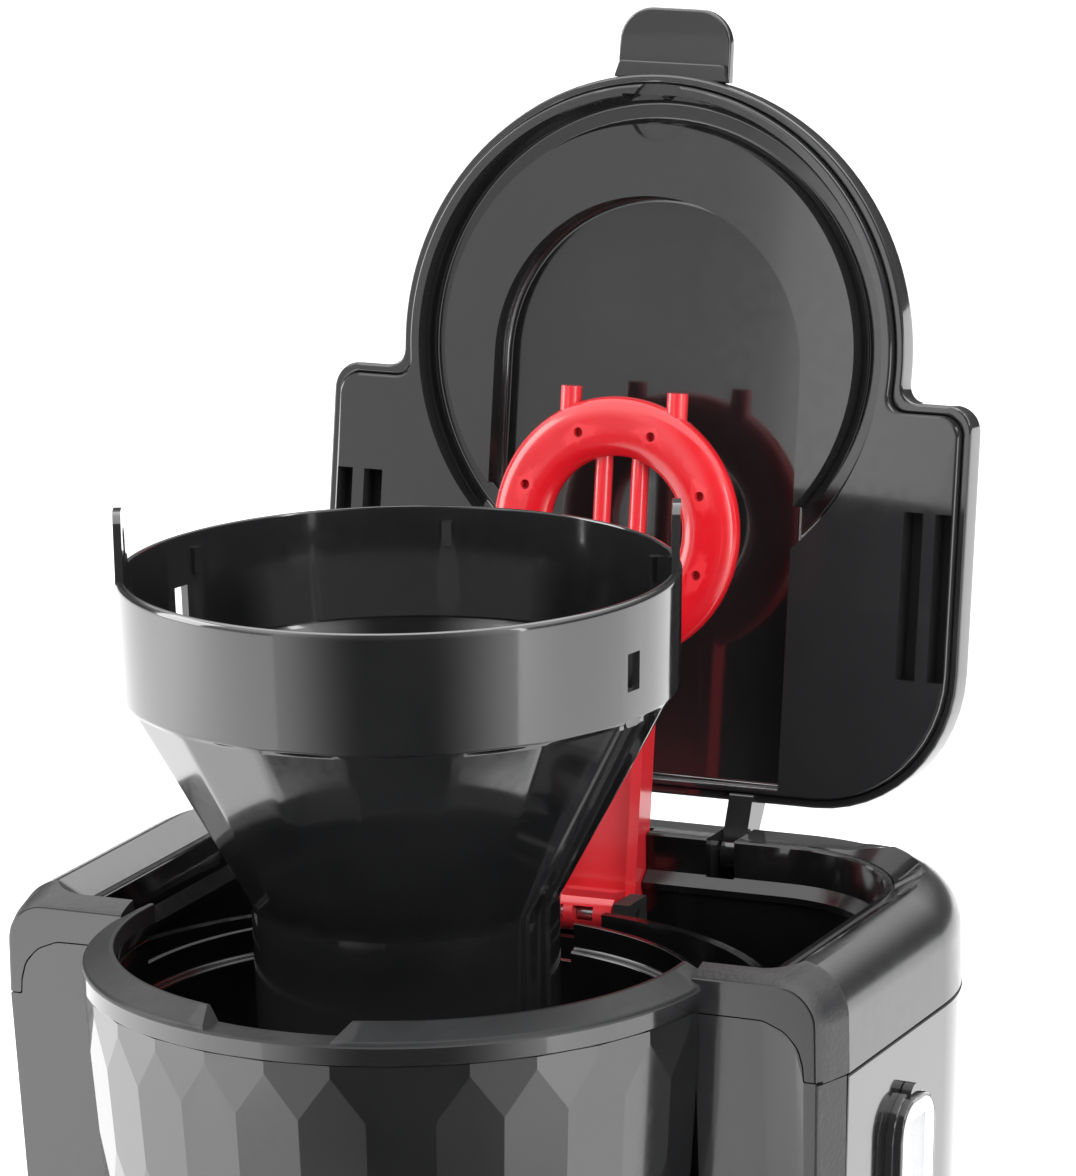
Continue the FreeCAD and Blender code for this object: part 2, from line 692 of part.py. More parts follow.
def make_bracket():
    """The bridge behind the chamber that carries the shower head's pivot."""
    low, y, z = D.bracket_level, D.pivot_y, D.pivot_z
    half = D.bracket_half_width
    inside = half - D.cheek
    riser_x, riser_y = riser_place()
    web = box((-half, half), (D.tank_bay + D.wall + 0.2, D.tank_rear - D.wall), (low, low + D.cheek))
    cheeks = [box(span, (y - 5, y + 5), (low, z + 4)) for span in ((-half, -inside), (inside, half))]
    hole = rod(D.pivot_pin_radius, -half - 1, half + 1, y, z)
    hose_hole = cylinder(D.hose_radius + 0.1, low - 1, low + D.cheek + 2, riser_x, riser_y)
    name_part(cut(fuse(web, *cheeks), hole, hose_hole), "pivot_bracket")
    name_part(rod(D.pivot_pin_radius, -half, half, y, z), "pivot_pin")


# ---------------------------------------------------------------- lid

def lid_plan(inset, low, high):
    """The lid's outline about its hinge: a disc in front and a squarer rear."""
    disc = cylinder(D.lid_radius - inset, low, high, 0, -D.hinge_y)
    half = D.lid_half_width - inset
    rear = box((-half, half), (-D.lid_front + inset, -D.lid_rear - inset), (low, high))
    rear = round_edges(rear, D.lid_corner - inset, lambda e: is_upright(e) and e.CenterOfMass.y > -50)
    rear = round_edges(rear, 6.0, lambda e: is_upright(e) and e.CenterOfMass.y < -90)
    return fuse(disc, rear)


def make_lid():
    wall = 2.0
    outer = lid_plan(0.0, 2.0, D.lid_top)
    hollow = lid_plan(wall, 1.0, D.lid_top - wall)
    tab = box((-D.tab_half_width, D.tab_half_width), (-D.tab_reach, -D.hinge_y - D.lid_radius + 1.5),
              (7.2, 10.2))
    tab = round_edges(tab, 8.0, lambda e: is_upright(e) and e.CenterOfMass.y < -190)
    knuckles = []
    for low, high in ((D.knuckle_inner, D.knuckle_outer), (-D.knuckle_outer, -D.knuckle_inner)):
        knuckles.append(rod(D.knuckle_radius, low, high, 0, 0))
        knuckles.append(box((low, high), (-D.lid_rear - 2, 0), (0, 4)))
        knuckles.append(box((low, high), (-D.lid_rear - 2, -D.lid_rear + 1), (0, 9)))
    bore = rod(D.hinge_pin_radius + 0.06, -40.0, 40.0, 0, 0)
    swing_part(cut(fuse(cut(outer, hollow), tab, *knuckles), bore), "lid_cover",
               D.hinge_y, D.hinge_z)

    plate = lid_plan(wall + 0.1, 0.0, 9.0)
    outside, inside = D.groove_radius, D.groove_radius - D.groove_width
    groove = cut(cylinder(outside, -1.0, 6.5, 0, -D.hinge_y),
                 cylinder(inside, -2.0, 7.0, 0, -D.hinge_y))
    half, depth = D.arch_radius, D.arch_depth
    arch = cylinder(half, -1.0, depth, 0, -D.arch_reach)
    throat = box((-half, half), (-D.arch_reach, -D.lid_rear - 4), (-1, depth))
    swing_part(cut(plate, groove, fuse(arch, throat)), "lid_liner", D.hinge_y, D.hinge_z)


# ---------------------------------------------------------------- shower head

def make_head():
    reach, rise, half = D.head_reach, D.head_rise, D.head_half_depth
    ring = DOC.addObject("Part::Torus", "Torus")
    bind(ring, "Radius1", D.head_radius)
    bind(ring, "Radius2", D.head_tube)
    place(ring, 0, -reach, rise)
    ring = common(ring, box((-40, 40), (-reach - 40, -reach + 40), (rise - half, rise + half)))
    arm = box((-D.arm_half_width, D.arm_half_width), (-reach + 19, 4), (rise - 3.5, rise + 3.5))
    foot = box((-D.arm_half_width, D.arm_half_width), (-5.5, 4), (-3.0, rise + 3.5))
    hub = rod(5.0, -D.arm_half_width, D.arm_half_width, 0, 0)
    bars = [box(span, (-reach - 20, -reach + 20), (rise + 0.5, rise + 3.5))
            for span in ((2.4, 6.8), (-6.8, -2.4))]
    pegs = [box(span, (-reach - 31.5, -reach - 25), (rise - 1.5, rise + 2.5))
            for span in ((11, 16), (-16, -11))]
    bore = rod(D.pivot_pin_radius + 0.06, -12.0, 12.0, 0, 0)
    swing_part(cut(fuse(ring, arm, foot, hub, *bars, *pegs), bore), "shower_head",
               D.pivot_y, D.pivot_z)


# ---------------------------------------------------------------- filter basket

def make_basket():
    rim, r, wall = D.basket_rim, D.basket_radius, D.basket_wall
    neck, low = D.basket_neck_radius, D.basket_bottom
    band = rim - D.basket_band
    cone = revolve([(D.drain_radius, low), (neck - 0.6, low), (neck, D.basket_neck),
                    (r - 0.8, band), (r, rim), (r - wall, rim), (r - wall - 0.8, band + 0.6),
                    (neck - wall, D.basket_neck + 0.8), (neck - wall - 0.6, low + 2),
                    (D.drain_radius, low + 2)])
    cage = cut(cylinder(7.0, low + 2, low + 20), cylinder(5.5, low + 1, low + 18),
               box((-8, 8), (-3.5, 3.5), (low + 2, low + 14)))
    lip = cut(cylinder(r, rim, rim + D.ear_height), cylinder(r - wall, rim - 1, rim + 30))
    ears = []
    half, slot = D.ear_half_width, D.ear_slot
    for side in (1, -1):
        x = r * side
        outline = box((x - 7, x + 7), (-half, half), (rim - 2, rim + D.ear_height))
        loop = box((x - 8, x + 8), (-slot, slot), (rim + 1, rim + D.ear_height - 4.5))
        ear = common(lip, cut(outline, loop))
        ear.Placement = Placement(Vector(0, 0, 0), Rotation(Vector(0, 0, 1), 1))
        bind(ear, "Placement.Rotation.Angle", D.ear_turn)
        ears.append(ear)
    name_part(fuse(cone, cage, *ears), "filter_basket", D.basket_lift)

    stem = D.stem_radius
    name_part(revolve([(0, low - 6.2), (3.0, low - 6.2), (3.0, low - 4.6), (stem, low - 4.6),
                       (stem, low + 4), (5.0, low + 4), (5.0, low + 5.2), (stem - 0.4, low + 5.2),
                       (stem - 0.4, low + 12), (0, low + 12)]), "drip_valve", D.basket_lift)
    name_part(revolve([(stem, low + 2.3), (5.0, low + 2.3), (5.0, low + 4), (stem, low + 4)]),
              "drip_seal", D.basket_lift)
    coil = DOC.addObject("Part::Helix", "Helix")
    bind(coil, "Radius", D.spring_radius)
    bind(coil, "Pitch", D.spring_pitch)
    bind(coil, "Height", D.spring_height)
    place(coil, 0, 0, low + 5.6)
    wire = DOC.addObject("Part::Circle", "WireSection")
    bind(wire, "Radius", D.spring_wire)
    wire.Placement = Placement(Vector(0, 0, 0), Rotation(Vector(1, 0, 0), 90))
    place(wire, D.spring_radius, 0, low + 5.6)
    spring = DOC.addObject("Part::Sweep", "Spring")
    spring.Sections = [wire]
    spring.Spine = (coil, [])
    spring.Solid = True
    spring.Frenet = True
    name_part(spring, "drip_spring", D.basket_lift)


# ---------------------------------------------------------------- carafe

def make_carafe():
    low, r, wall = D.carafe_bottom, D.carafe_radius, D.glass_wall
    base, neck = D.carafe_base_radius, D.carafe_neck_radius
    shoulder, top = D.carafe_shoulder, D.carafe_neck
    name_part(revolve([(0, low), (base, low), (base + 5, low + 4), (r, low + 28),
                       (r - 1, shoulder - 14), (neck + 6, top - 16), (neck, top - 8), (neck, top),
                       (neck - wall, top),
                       (neck - wall, top - 8.6), (neck + 3, top - 17.2), (r - 1 - wall, shoulder - 15),
                       (r - wall, low + 28), (base + 3, low + 6), (base - 2, low + wall),
                       (0, low + wall)]), "carafe_glass")
    band = revolve([(neck + 0.2, top - 7.5), (neck + 5, top - 9), (neck + 5, top + 6),
                    (neck - 3, top + 6), (neck - 3, top + 0.2), (neck + 0.2, top + 0.2)])
    name_part(band, "carafe_collar")
    name_part(revolve([(8, top + 0.4), (neck - 6, top + 0.4), (neck - 6, top + 6.4),
                       (neck + 3, top + 6.4), (neck + 2, D.lid_level - 5), (neck - 14, D.lid_level - 2),
                       (14, D.lid_level - 5), (8, D.lid_level - 8)]), "carafe_lid")
    reach = D.handle_reach
    half = D.handle_half_width
    grip = pad("YZ", [(-neck - 5.05, top - 6), (-neck - 5.05, top + 5), (-reach + 12, top + 5),
                      (-reach, top - 8), (-reach, low + 24), (-reach + 12, low + 12),
                      (-reach + 24, low + 12), (-reach + 16, low + 30), (-reach + 15, top - 18),
                      (-reach + 22, top - 9)], half * 2, 0, True)
    screw_y = -neck - 11
    drill = cylinder(D.screw_radius, top - 4, top + 6, 0, screw_y)
    name_part(cut(grip, drill), "carafe_handle")
    name_part(fuse(cylinder(D.screw_radius, top - 3.5, top + 5, 0, screw_y),
                   cylinder(D.screw_head_radius, top + 5, top + 6.6, 0, screw_y)), "handle_screw")


# ---------------------------------------------------------------- gauge, switch, cord gland

def make_gauge():
    half, depth = D.gauge_half_width, D.gauge_depth
    length = D.gauge_top - D.gauge_bottom
    outer = box((0, depth), (-half, half), (-length, 0))
    outer = round_edges(outer, 10.5, lambda e: e.BoundBox.XLength > 3.5)
    window = box((-1, depth + 1), (-half + 4.5, half - 4.5), (-length + 9, -9))
    window = round_edges(window, 6.0, lambda e: e.BoundBox.XLength > 3.5)
    name_part(cut(outer, window), "gauge_frame")
    pane = box((0.4, depth - 1.2), (-half + 4.5, half - 4.5), (-length + 9, -9))
    pane = round_edges(pane, 6.0, lambda e: e.BoundBox.XLength > 1.5)
    name_part(pane, "gauge_window")
    for item in PARTS[-2:]:
        item.Placement = Placement(Vector(0, 0, 0), Rotation(Vector(0, 1, 0), D.side_taper.value))
        bind(item, "Placement.Base.x", D.column_half_width - taper_shift(D.gauge_top))
        bind(item, "Placement.Base.y", D.axis_y + D.gauge_y)
        bind(item, "Placement.Base.z", D.gauge_top)


def make_switch():
    wide, tall = D.switch_half_width, D.switch_half_height
    level = D.switch_level
    front = -D.base_front_radius
    plate = box((-wide - 2, wide + 2), (front - 2, front + 6), (level - tall - 2, level + tall + 2))
    hole = box((-wide + 1.5, wide - 1.5), (front - 3, front + 7),
               (level - tall + 1.5, level + tall - 1.5))
    name_part(cut(plate, hole, cylinder(D.base_front_radius, 0.0, 60.0)), "switch_bezel")
    rocker = pad("YZ", [(front - 3.2, level - 3.8), (front - 1.6, level), (front - 2.6, level + 3.8),
                        (front + 4, level + 3.8), (front + 4, level - 3.8)], (wide - 2.2) * 2, 0, True)
    name_part(rocker, "power_switch")
    name_part(cylinder(D.lamp_radius, D.base_top - 2.4, D.base_top + 0.8, 0, D.lamp_y), "power_lamp")


def make_gland():
    item = cylinder(7.0, 0.0, 6.0)
    bore = cylinder(3.6, -1.0, 7.0)
    collar = cylinder(5.0, -6.0, 0.0)
    name_part(cut(fuse(item, collar), bore), "cord_gland")
    PARTS[-1].Placement = Placement(Vector(0, 0, 0), Rotation(Vector(1, 0, 0), -90))
    bind(PARTS[-1], "Placement.Base.x", D.gland_x)
    bind(PARTS[-1], "Placement.Base.y", D.axis_y + D.base_rear)
    bind(PARTS[-1], "Placement.Base.z", D.gland_z)


# ---------------------------------------------------------------- checks and output

def check_document():
    DOC.recompute()
    for item in DOC.Objects:
        if "Invalid" in item.State or "Error" in item.State:
            raise RuntimeError("failed object: %s (%s)" % (item.Label, item.Name))
    for item in PARTS:
        if item.Shape.isNull() or not item.Shape.isValid() or not item.Shape.Solids:
            raise RuntimeError("bad shape: " + item.Label)


def write_parts():
    os.makedirs("parts", exist_ok=True)
    for item in PARTS:
        item.Shape.exportStep(os.path.join("parts", item.Label + ".step"))
        extent = item.Shape.BoundBox
        print("%-22s %2d solids %10.0f mm3  x %7.1f %7.1f  y %7.1f %7.1f  z %7.1f %7.1f" % (
            item.Label, len(item.Shape.Solids), item.Shape.Volume, extent.XMin, extent.XMax,
            extent.YMin, extent.YMax, extent.ZMin, extent.ZMax))


for make in (make_base, make_heating, make_hoses, make_column, make_tank, make_collar,
             make_housing, make_chamber, make_bracket, make_lid, make_head, make_basket,
             make_carafe, make_gauge, make_switch, make_gland):
    make()
check_document()
write_parts()
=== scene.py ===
"""Drip coffee maker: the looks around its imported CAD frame.

Lengths are millimetres measured from the filter's upright axis, with z = 0 on the floor;
the row transform turns them into the frame's metres when a piece is finished.
"""
import json
import math

import bmesh
import bpy
from mathutils import Matrix, Vector


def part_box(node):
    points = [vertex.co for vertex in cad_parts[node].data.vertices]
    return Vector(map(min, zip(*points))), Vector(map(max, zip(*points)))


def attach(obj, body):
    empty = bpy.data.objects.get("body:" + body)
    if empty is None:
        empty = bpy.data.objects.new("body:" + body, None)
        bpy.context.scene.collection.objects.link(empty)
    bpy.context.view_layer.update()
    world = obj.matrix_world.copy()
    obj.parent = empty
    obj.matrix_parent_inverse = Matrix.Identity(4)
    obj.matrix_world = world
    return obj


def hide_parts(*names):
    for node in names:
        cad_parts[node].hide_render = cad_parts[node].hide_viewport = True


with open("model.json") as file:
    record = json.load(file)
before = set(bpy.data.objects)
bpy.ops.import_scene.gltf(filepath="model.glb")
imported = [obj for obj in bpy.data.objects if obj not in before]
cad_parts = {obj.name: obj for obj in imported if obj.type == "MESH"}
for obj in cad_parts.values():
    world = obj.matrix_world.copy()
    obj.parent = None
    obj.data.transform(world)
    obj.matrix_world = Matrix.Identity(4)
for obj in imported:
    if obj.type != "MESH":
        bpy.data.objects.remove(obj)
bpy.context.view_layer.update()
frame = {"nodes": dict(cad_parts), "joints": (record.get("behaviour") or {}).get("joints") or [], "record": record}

MM = 0.001
AXIS_Y = sum(corner.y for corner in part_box("carafe_glass")) / 2 / MM
ROW = Matrix.Scale(MM, 4) @ Matrix.Translation((0, AXIS_Y, 0))


def extent(node):
    """A node's lowest and highest corners in millimetres from the filter's axis."""
    low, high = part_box(node)
    shift = Vector((0, AXIS_Y, 0))
    return low / MM - shift, high / MM - shift


def joint(name):
    return next(j for j in frame["joints"] if j["name"] == name)


def joint_place(name):
    x, y, z = joint(name)["pos_m"]
    return Vector((x / MM, y / MM - AXIS_Y, z / MM))


# ---- measures from the frame

COLLAR_LOW, COLLAR_HIGH = extent("top_collar")
HOUSING_LOW, HOUSING_HIGH = extent("faceted_housing")
BASKET_LOW, BASKET_HIGH = extent("filter_basket")
BASE_LOW, BASE_HIGH = extent("base_shell")
COLUMN_HIGH = extent("column_shell")[1]
GAUGE_LOW, GAUGE_HIGH = extent("gauge_frame")
GLASS_LOW, GLASS_HIGH = extent("carafe_glass")

DECK = COLLAR_HIGH.z
SEAM = COLLAR_LOW.z
HALF = COLUMN_HIGH.x
REAR = COLUMN_HIGH.y
FRONT = -3.0
RING_RADIUS = -COLLAR_LOW.y
RING_INNER = RING_RADIUS - 7.3
RING_TOP = DECK - 4.8
RING_SEAM = HOUSING_HIGH.z

HINGE = joint_place("lid_hinge")
LID_OPEN = math.radians(joint("lid_hinge")["range_deg"][1])
PIVOT = joint_place("shower_head_hinge")

SIDE_LEAN = math.radians(2.2)
SIDE_TAPER = math.tan(SIDE_LEAN)
RISER_AT = (0, 93.5)
SUPPLY_AT = (-32, 94)
BASE_RADIUS = 86.0
FAR = 120
ROUND = 160


# ---- outlines

def fillet(points, radii, steps=6, closed=True):
    """A polygon with its corners turned into arcs of these radii."""
    corners = [Vector(p) for p in points]
    count = len(corners)
    if not hasattr(radii, "__len__"):
        radii = [radii] * count
    out = []
    for i, corner in enumerate(corners):
        if radii[i] <= 0 or (not closed and i in (0, count - 1)):
            out.append(corner.copy())
            continue
        back = corners[i - 1] - corner
        ahead = corners[(i + 1) % count] - corner
        half = back.angle(ahead) / 2
        if half > math.pi / 2 - 0.01:
            out.append(corner.copy())
            continue
        reach = min(radii[i] / math.tan(half), 0.49 * back.length, 0.49 * ahead.length)
        radius = reach * math.tan(half)
        middle = back.normalized() + ahead.normalized()
        centre = corner + middle.normalized() * (radius / math.sin(half))
        start = corner + back.normalized() * reach - centre
        end = corner + ahead.normalized() * reach - centre
        turn = start.angle_signed(end)
        for k in range(steps + 1):
            spun = start.copy()
            spun.rotate(Matrix.Rotation(-turn * k / steps, 2))
            out.append(centre + spun)
    return out


def stadium(half_width, half_height, radius, steps=8):
    """A rounded rectangle about its own centre."""
    w, t = half_width, half_height
    return fillet([(w, -t), (w, t), (-w, t), (-w, -t)], radius, steps)


def arc(radius, start, end, steps, centre=(0, 0)):
    """Points on an arc, in degrees anticlockwise from +X."""
    out = []
    for k in range(steps + 1):
        angle = math.radians(start + (end - start) * k / steps)
        out.append(Vector((centre[0] + radius * math.cos(angle), centre[1] + radius * math.sin(angle))))
    return out


def bend(start, corner, end, steps=6):
    """A soft curve from start to end that is drawn towards the corner."""
    a, b, c = Vector(start), Vector(corner), Vector(end)
    out = []
    for k in range(1, steps):
        t = k / steps
        out.append(a * (1 - t) ** 2 + b * (2 * t * (1 - t)) + c * t ** 2)
    return out


def normals(outline):
    """The outward normal at each point of an anticlockwise outline."""
    out = []
    count = len(outline)
    for i in range(count):
        run = outline[(i + 1) % count] - outline[i - 1]
        out.append(Vector((run.y, -run.x)).normalized())
    return out


# ---- meshes

def skin(loops, around=True, caps=True, turned_back=False):
    """A mesh of quads over a row of loops that all have the same number of points."""
    bm = bmesh.new()
    rows = [[bm.verts.new(p) for p in loop] for loop in loops]
    count = len(rows[0])
    pairs = list(zip(rows, rows[1:]))
    if turned_back:
        pairs.append((rows[-1], rows[0]))
    last = count if around else count - 1
    for low, high in pairs:
        for i in range(last):
            j = (i + 1) % count
            bm.faces.new((low[i], low[j], high[j], high[i]))
    if caps and not turned_back:
        bm.faces.new(list(reversed(rows[0])))
        bm.faces.new(rows[-1])
    bmesh.ops.remove_doubles(bm, verts=bm.verts, dist=1e-4)
    bmesh.ops.dissolve_degenerate(bm, edges=bm.edges, dist=1e-5)
    bmesh.ops.recalc_face_normals(bm, faces=bm.faces)
    return bm


def turn(profile, steps=ROUND):
    """A closed outline of (radius, height) turned about the axis."""
    loops = []
    for k in range(steps):
        angle = 2 * math.pi * k / steps
        loops.append([Vector((p[0] * math.sin(angle), -p[0] * math.cos(angle), p[1])) for p in profile])
    return skin(loops, around=True, caps=False, turned_back=True)


def slab(outline, low, high, edge_low=0.0, edge_high=0.0, steps=4):
    """A plate with rounded rims: the outline is drawn in along its normals."""
    sides = normals(outline)
    layers = []
    for k in range(steps + 1):
        angle = math.pi / 2 * k / steps
        layers.append((edge_low * (1 - math.sin(angle)), low + edge_low * (1 - math.cos(angle))))
    for k in range(steps + 1):
        angle = math.pi / 2 * (1 - k / steps)
        layers.append((edge_high * (1 - math.sin(angle)), high - edge_high * (1 - math.cos(angle))))
    loops = []
    for inset, level in layers:
        if loops and (loops[-1][0].z == level) and inset == 0:
            continue
        loops.append(raised([p - n * inset for p, n in zip(outline, sides)], level))
    return skin(loops)


def raised(outline, level):
    """The outline as a loop at this height."""
    return [p.to_3d() + Vector((0, 0, level)) for p in outline]


def drum(radius, low, high, sides=ROUND, centre=(0, 0)):
    """A plain round plate."""
    return slab(arc(radius, 0, 360, sides, centre)[:-1], low, high, steps=1)


def side_prism(outline, left, right):
    """A prism whose outline of (y, z) lies across the X axis."""
    return skin([[Vector((x, y, z)) for y, z in outline] for x in (left, right)])


def upright_prism(outline, front, back, mirror=1):
    """A prism whose outline of (x, z) lies across the Y axis."""
    return skin([[Vector((x * mirror, y, z)) for x, z in outline] for y in (front, back)])


def block(x, y, z):
    """A box between two values along each axis."""
    outline = [Vector((x[1], y[0])), Vector((x[1], y[1])), Vector((x[0], y[1])), Vector((x[0], y[0]))]
    return slab(outline, z[0], z[1], steps=1)


def rod(radius, start, end, steps=32):
    """A round bar between two points."""
    start, end = Vector(start), Vector(end)
    run = end - start
    bm = skin([raised(arc(radius, 0, 360, steps)[:-1], level) for level in (0.0, run.length)])
    place = Matrix.Translation(start) @ Vector((0, 0, 1)).rotation_difference(run).to_matrix().to_4x4()
    return moved(bm, place)


def moved(bm, place):
    bmesh.ops.transform(bm, matrix=place, verts=bm.verts)
    return bm


def as_object(bm, name):
    mesh = bpy.data.meshes.new(name)
    bm.to_mesh(mesh)
    bm.free()
    item = bpy.data.objects.new(name, mesh)
    bpy.context.scene.collection.objects.link(item)
    return item


def cut_up(bm):
    """Every face as triangles."""
    bmesh.ops.triangulate(bm, faces=bm.faces, ngon_method="EAR_CLIP")
    return bm


def combine(base, tools, operation):
    """The base after a boolean with each tool in turn."""
    target = as_object(cut_up(base), "target")
    cutters = []
    for index, tool in enumerate(map(cut_up, tools)):
        cutter = as_object(tool, "tool%d" % index)
        modifier = target.modifiers.new("cut", "BOOLEAN")
        modifier.operation = operation
        modifier.solver = "MANIFOLD"
        modifier.object = cutter
        cutters.append(cutter)
    bpy.context.view_layer.update()
    graph = bpy.context.evaluated_depsgraph_get()
    mesh = bpy.data.meshes.new_from_object(target.evaluated_get(graph))
    bm = bmesh.new()
    bm.from_mesh(mesh)
    bpy.data.meshes.remove(mesh)
    cut_up(bm)
    for item in [target] + cutters:
        data = item.data
        bpy.data.objects.remove(item)
        bpy.data.meshes.remove(data)
    return bm


def carve(base, *tools):
    return combine(base, tools, "DIFFERENCE")


def weld(base, *tools):
    return combine(base, tools, "UNION")


def keep_in(base, tool):
    return combine(base, [tool], "INTERSECT")


SHARP = math.radians(32)
SHADING_BREAK = math.radians(50)
FLAT = math.radians(0.25)


def finish_mesh(item, bevel, segments, crease):
    """Round the edges sharper than the crease a little and shade the rest smooth."""
    item.data.shade_smooth()
    if bevel > 0:
        modifier = item.modifiers.new("edges", "BEVEL")
        modifier.width = bevel * MM
        modifier.segments = segments
        modifier.limit_method = "ANGLE"
        modifier.angle_limit = crease
        modifier.use_clamp_overlap = True
        modifier.harden_normals = False
    item.data.set_sharp_from_angle(angle=SHADING_BREAK if bevel > 0 else SHARP)
    even = item.modifiers.new("shading", "WEIGHTED_NORMAL")
    even.keep_sharp = True


def piece(name, bm, body, material, nodes=(), bevel=0.3, place=None, segments=3, crease=SHARP):
    """A finished piece that rides on a body and stands for some CAD nodes.

    Flat faces that a cut left in triangles become whole again before the edges are rounded.
    """
    if place is not None:
        moved(bm, place)
    bmesh.ops.dissolve_limit(bm, angle_limit=FLAT, verts=bm.verts, edges=bm.edges)
    moved(bm, ROW)
    bmesh.ops.recalc_face_normals(bm, faces=bm.faces)
    item = as_object(bm, name)
    item.data.materials.append(material)
    finish_mesh(item, bevel, segments, crease)
    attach(item, body)
    if nodes:
        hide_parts(*nodes)
    return item


# ---- materials

NOISE_LOW, NOISE_HIGH = 0.3, 0.7


class Finish:
    """A material under construction: its principled shader and the links to it."""

    def __init__(self, name, roughness, **fixed):
        self.material = bpy.data.materials.new(name)
        self.material.use_nodes = True
        self.tree = self.material.node_tree
        self.shader = self.tree.nodes["Principled BSDF"]
        self.shader.inputs["Roughness"].default_value = roughness
        for socket, value in fixed.items():
            self.shader.inputs[socket.replace("_", " ")].default_value = value
        self.where = self.tree.nodes.new("ShaderNodeTexCoord").outputs["Object"]
        self.height = None

    def node(self, kind, **settings):
        item = self.tree.nodes.new(kind)
        for name, value in settings.items():
            setattr(item, name, value)
        return item

    def link(self, source, target):
        self.tree.links.new(source, target)

    def noise(self, size, detail=3.0, roughness=0.5):
        """Cloudy noise whose features are about this many millimetres wide."""
        place = self.node("ShaderNodeMapping")
        place.inputs["Scale"].default_value = [1 / (size * MM)] * 3
        self.link(self.where, place.inputs["Vector"])
        item = self.node("ShaderNodeTexNoise")
        item.inputs["Scale"].default_value = 1.0
        item.inputs["Detail"].default_value = detail
        item.inputs["Roughness"].default_value = roughness
        self.link(place.outputs["Vector"], item.inputs["Vector"])
        return item.outputs["Fac"]

    def cells(self, size):
        """Soft cells about this many millimetres wide."""
        item = self.node("ShaderNodeTexVoronoi", feature="SMOOTH_F1")
        item.inputs["Scale"].default_value = 1 / (size * MM)
        self.link(self.where, item.inputs["Vector"])
        return item.outputs["Distance"]

    def spread(self, source, low, high, start=NOISE_LOW, end=NOISE_HIGH):
        """A source between start and end, mapped to a number between low and high."""
        item = self.node("ShaderNodeMapRange", clamp=True)
        for name, value in (("From Min", start), ("From Max", end), ("To Min", low), ("To Max", high)):
            item.inputs[name].default_value = value
        self.link(source, item.inputs["Value"])
        return item.outputs["Result"]

    def colours(self, source, low, high):
        ramp = self.node("ShaderNodeValToRGB")
        stops = zip(ramp.color_ramp.elements, (NOISE_LOW, NOISE_HIGH), (low, high))
        for stop, position, colour in stops:
            stop.position = position
            stop.color = (*colour, 1)
        self.link(source, ramp.inputs["Fac"])
        self.link(ramp.outputs["Color"], self.shader.inputs["Base Color"])

    def rough(self, source, low, high):
        self.link(self.spread(source, low, high), self.shader.inputs["Roughness"])

    def bump(self, source, depth):
        """Relief of this depth in millimetres, on top of the relief made before."""
        item = self.node("ShaderNodeBump")
        item.inputs["Strength"].default_value = 1.0
        item.inputs["Distance"].default_value = depth * MM
        self.link(source, item.inputs["Height"])
        if self.height is not None:
            self.link(self.height, item.inputs["Normal"])
        self.height = item.outputs["Normal"]
        self.link(self.height, self.shader.inputs["Normal"])

    def paint_edge_highlight(self, colour):
        """A painted highlight: a slightly paler tint along raised edges, mixed over the base colour."""
        edges = self.node("ShaderNodeNewGeometry").outputs["Pointiness"]
        amount = self.spread(edges, 0.0, 0.35, 0.53, 0.62)
        mix = self.node("ShaderNodeMix", data_type="RGBA")
        before = self.shader.inputs["Base Color"].links[0].from_socket
        self.link(amount, mix.inputs["Factor"])
        self.link(before, mix.inputs["A"])
        mix.inputs["B"].default_value = (*colour, 1)
        self.link(mix.outputs["Result"], self.shader.inputs["Base Color"])


def moulded(name, dark, pale, low, high, grain=0.0, grain_size=0.5, edge_highlight=None, **fixed):
    """Moulded plastic: faint colour drift, uneven gloss, flow waves, an optional grain and an optional painted
    highlight along raised edges.
    """
    finish = Finish(name, low, **fixed)
    drift = finish.noise(26, 4)
    finish.colours(drift, dark, pale)
    finish.rough(finish.noise(3.2, 5, 0.6), low, high)
    finish.bump(finish.noise(14, 2), 0.004)
    if grain > 0:
        finish.bump(finish.cells(grain_size), grain)
        finish.bump(finish.noise(grain_size * 0.6, 2), grain * 0.6)
    # Painted highlight: a paler tint along raised edges.
    if edge_highlight is not None:
        finish.paint_edge_highlight(edge_highlight)
    return finish.material


# The edge tints passed below paint a highlight along raised edges.
GLOSS = moulded("gloss_black", (0.0052, 0.0054, 0.0058), (0.0085, 0.0086, 0.009), 0.07, 0.14,
                edge_highlight=(0.03, 0.03, 0.032), Specular_IOR_Level=0.85, Coat_Weight=0.6, Coat_Roughness=0.05)
SMOOTH = moulded("smooth_side", (0.012, 0.0122, 0.0128), (0.018, 0.0184, 0.019), 0.2, 0.27,
                 Specular_IOR_Level=0.7, Coat_Weight=0.25, Coat_Roughness=0.16)
INNER = moulded("inner_black", (0.004, 0.004, 0.0042), (0.0065, 0.0065, 0.007), 0.1, 0.2,
                Specular_IOR_Level=0.55)
MATTE = moulded("matte_black", (0.012, 0.012, 0.0125), (0.019, 0.019, 0.02), 0.42, 0.56, grain=0.02)
SATIN = moulded("satin_cap", (0.012, 0.0122, 0.0128), (0.019, 0.0195, 0.0205), 0.34, 0.44,
                grain=0.018, grain_size=0.7, edge_highlight=(0.06, 0.06, 0.062), Specular_IOR_Level=0.25)
STRIP = moulded("grained_strip", (0.013, 0.0132, 0.014), (0.022, 0.0225, 0.0235), 0.36, 0.46,
                grain=0.09, grain_size=1.1, edge_highlight=(0.06, 0.06, 0.062), Specular_IOR_Level=0.35)
RED = moulded("gloss_red", (0.46, 0.006, 0.011), (0.56, 0.010, 0.017), 0.14, 0.24,
              edge_highlight=(0.7, 0.05, 0.06), Specular_IOR_Level=0.6, Coat_Weight=0.3, Coat_Roughness=0.06)
WHITE = moulded("white_plastic", (0.74, 0.75, 0.75), (0.82, 0.82, 0.82), 0.22, 0.34)
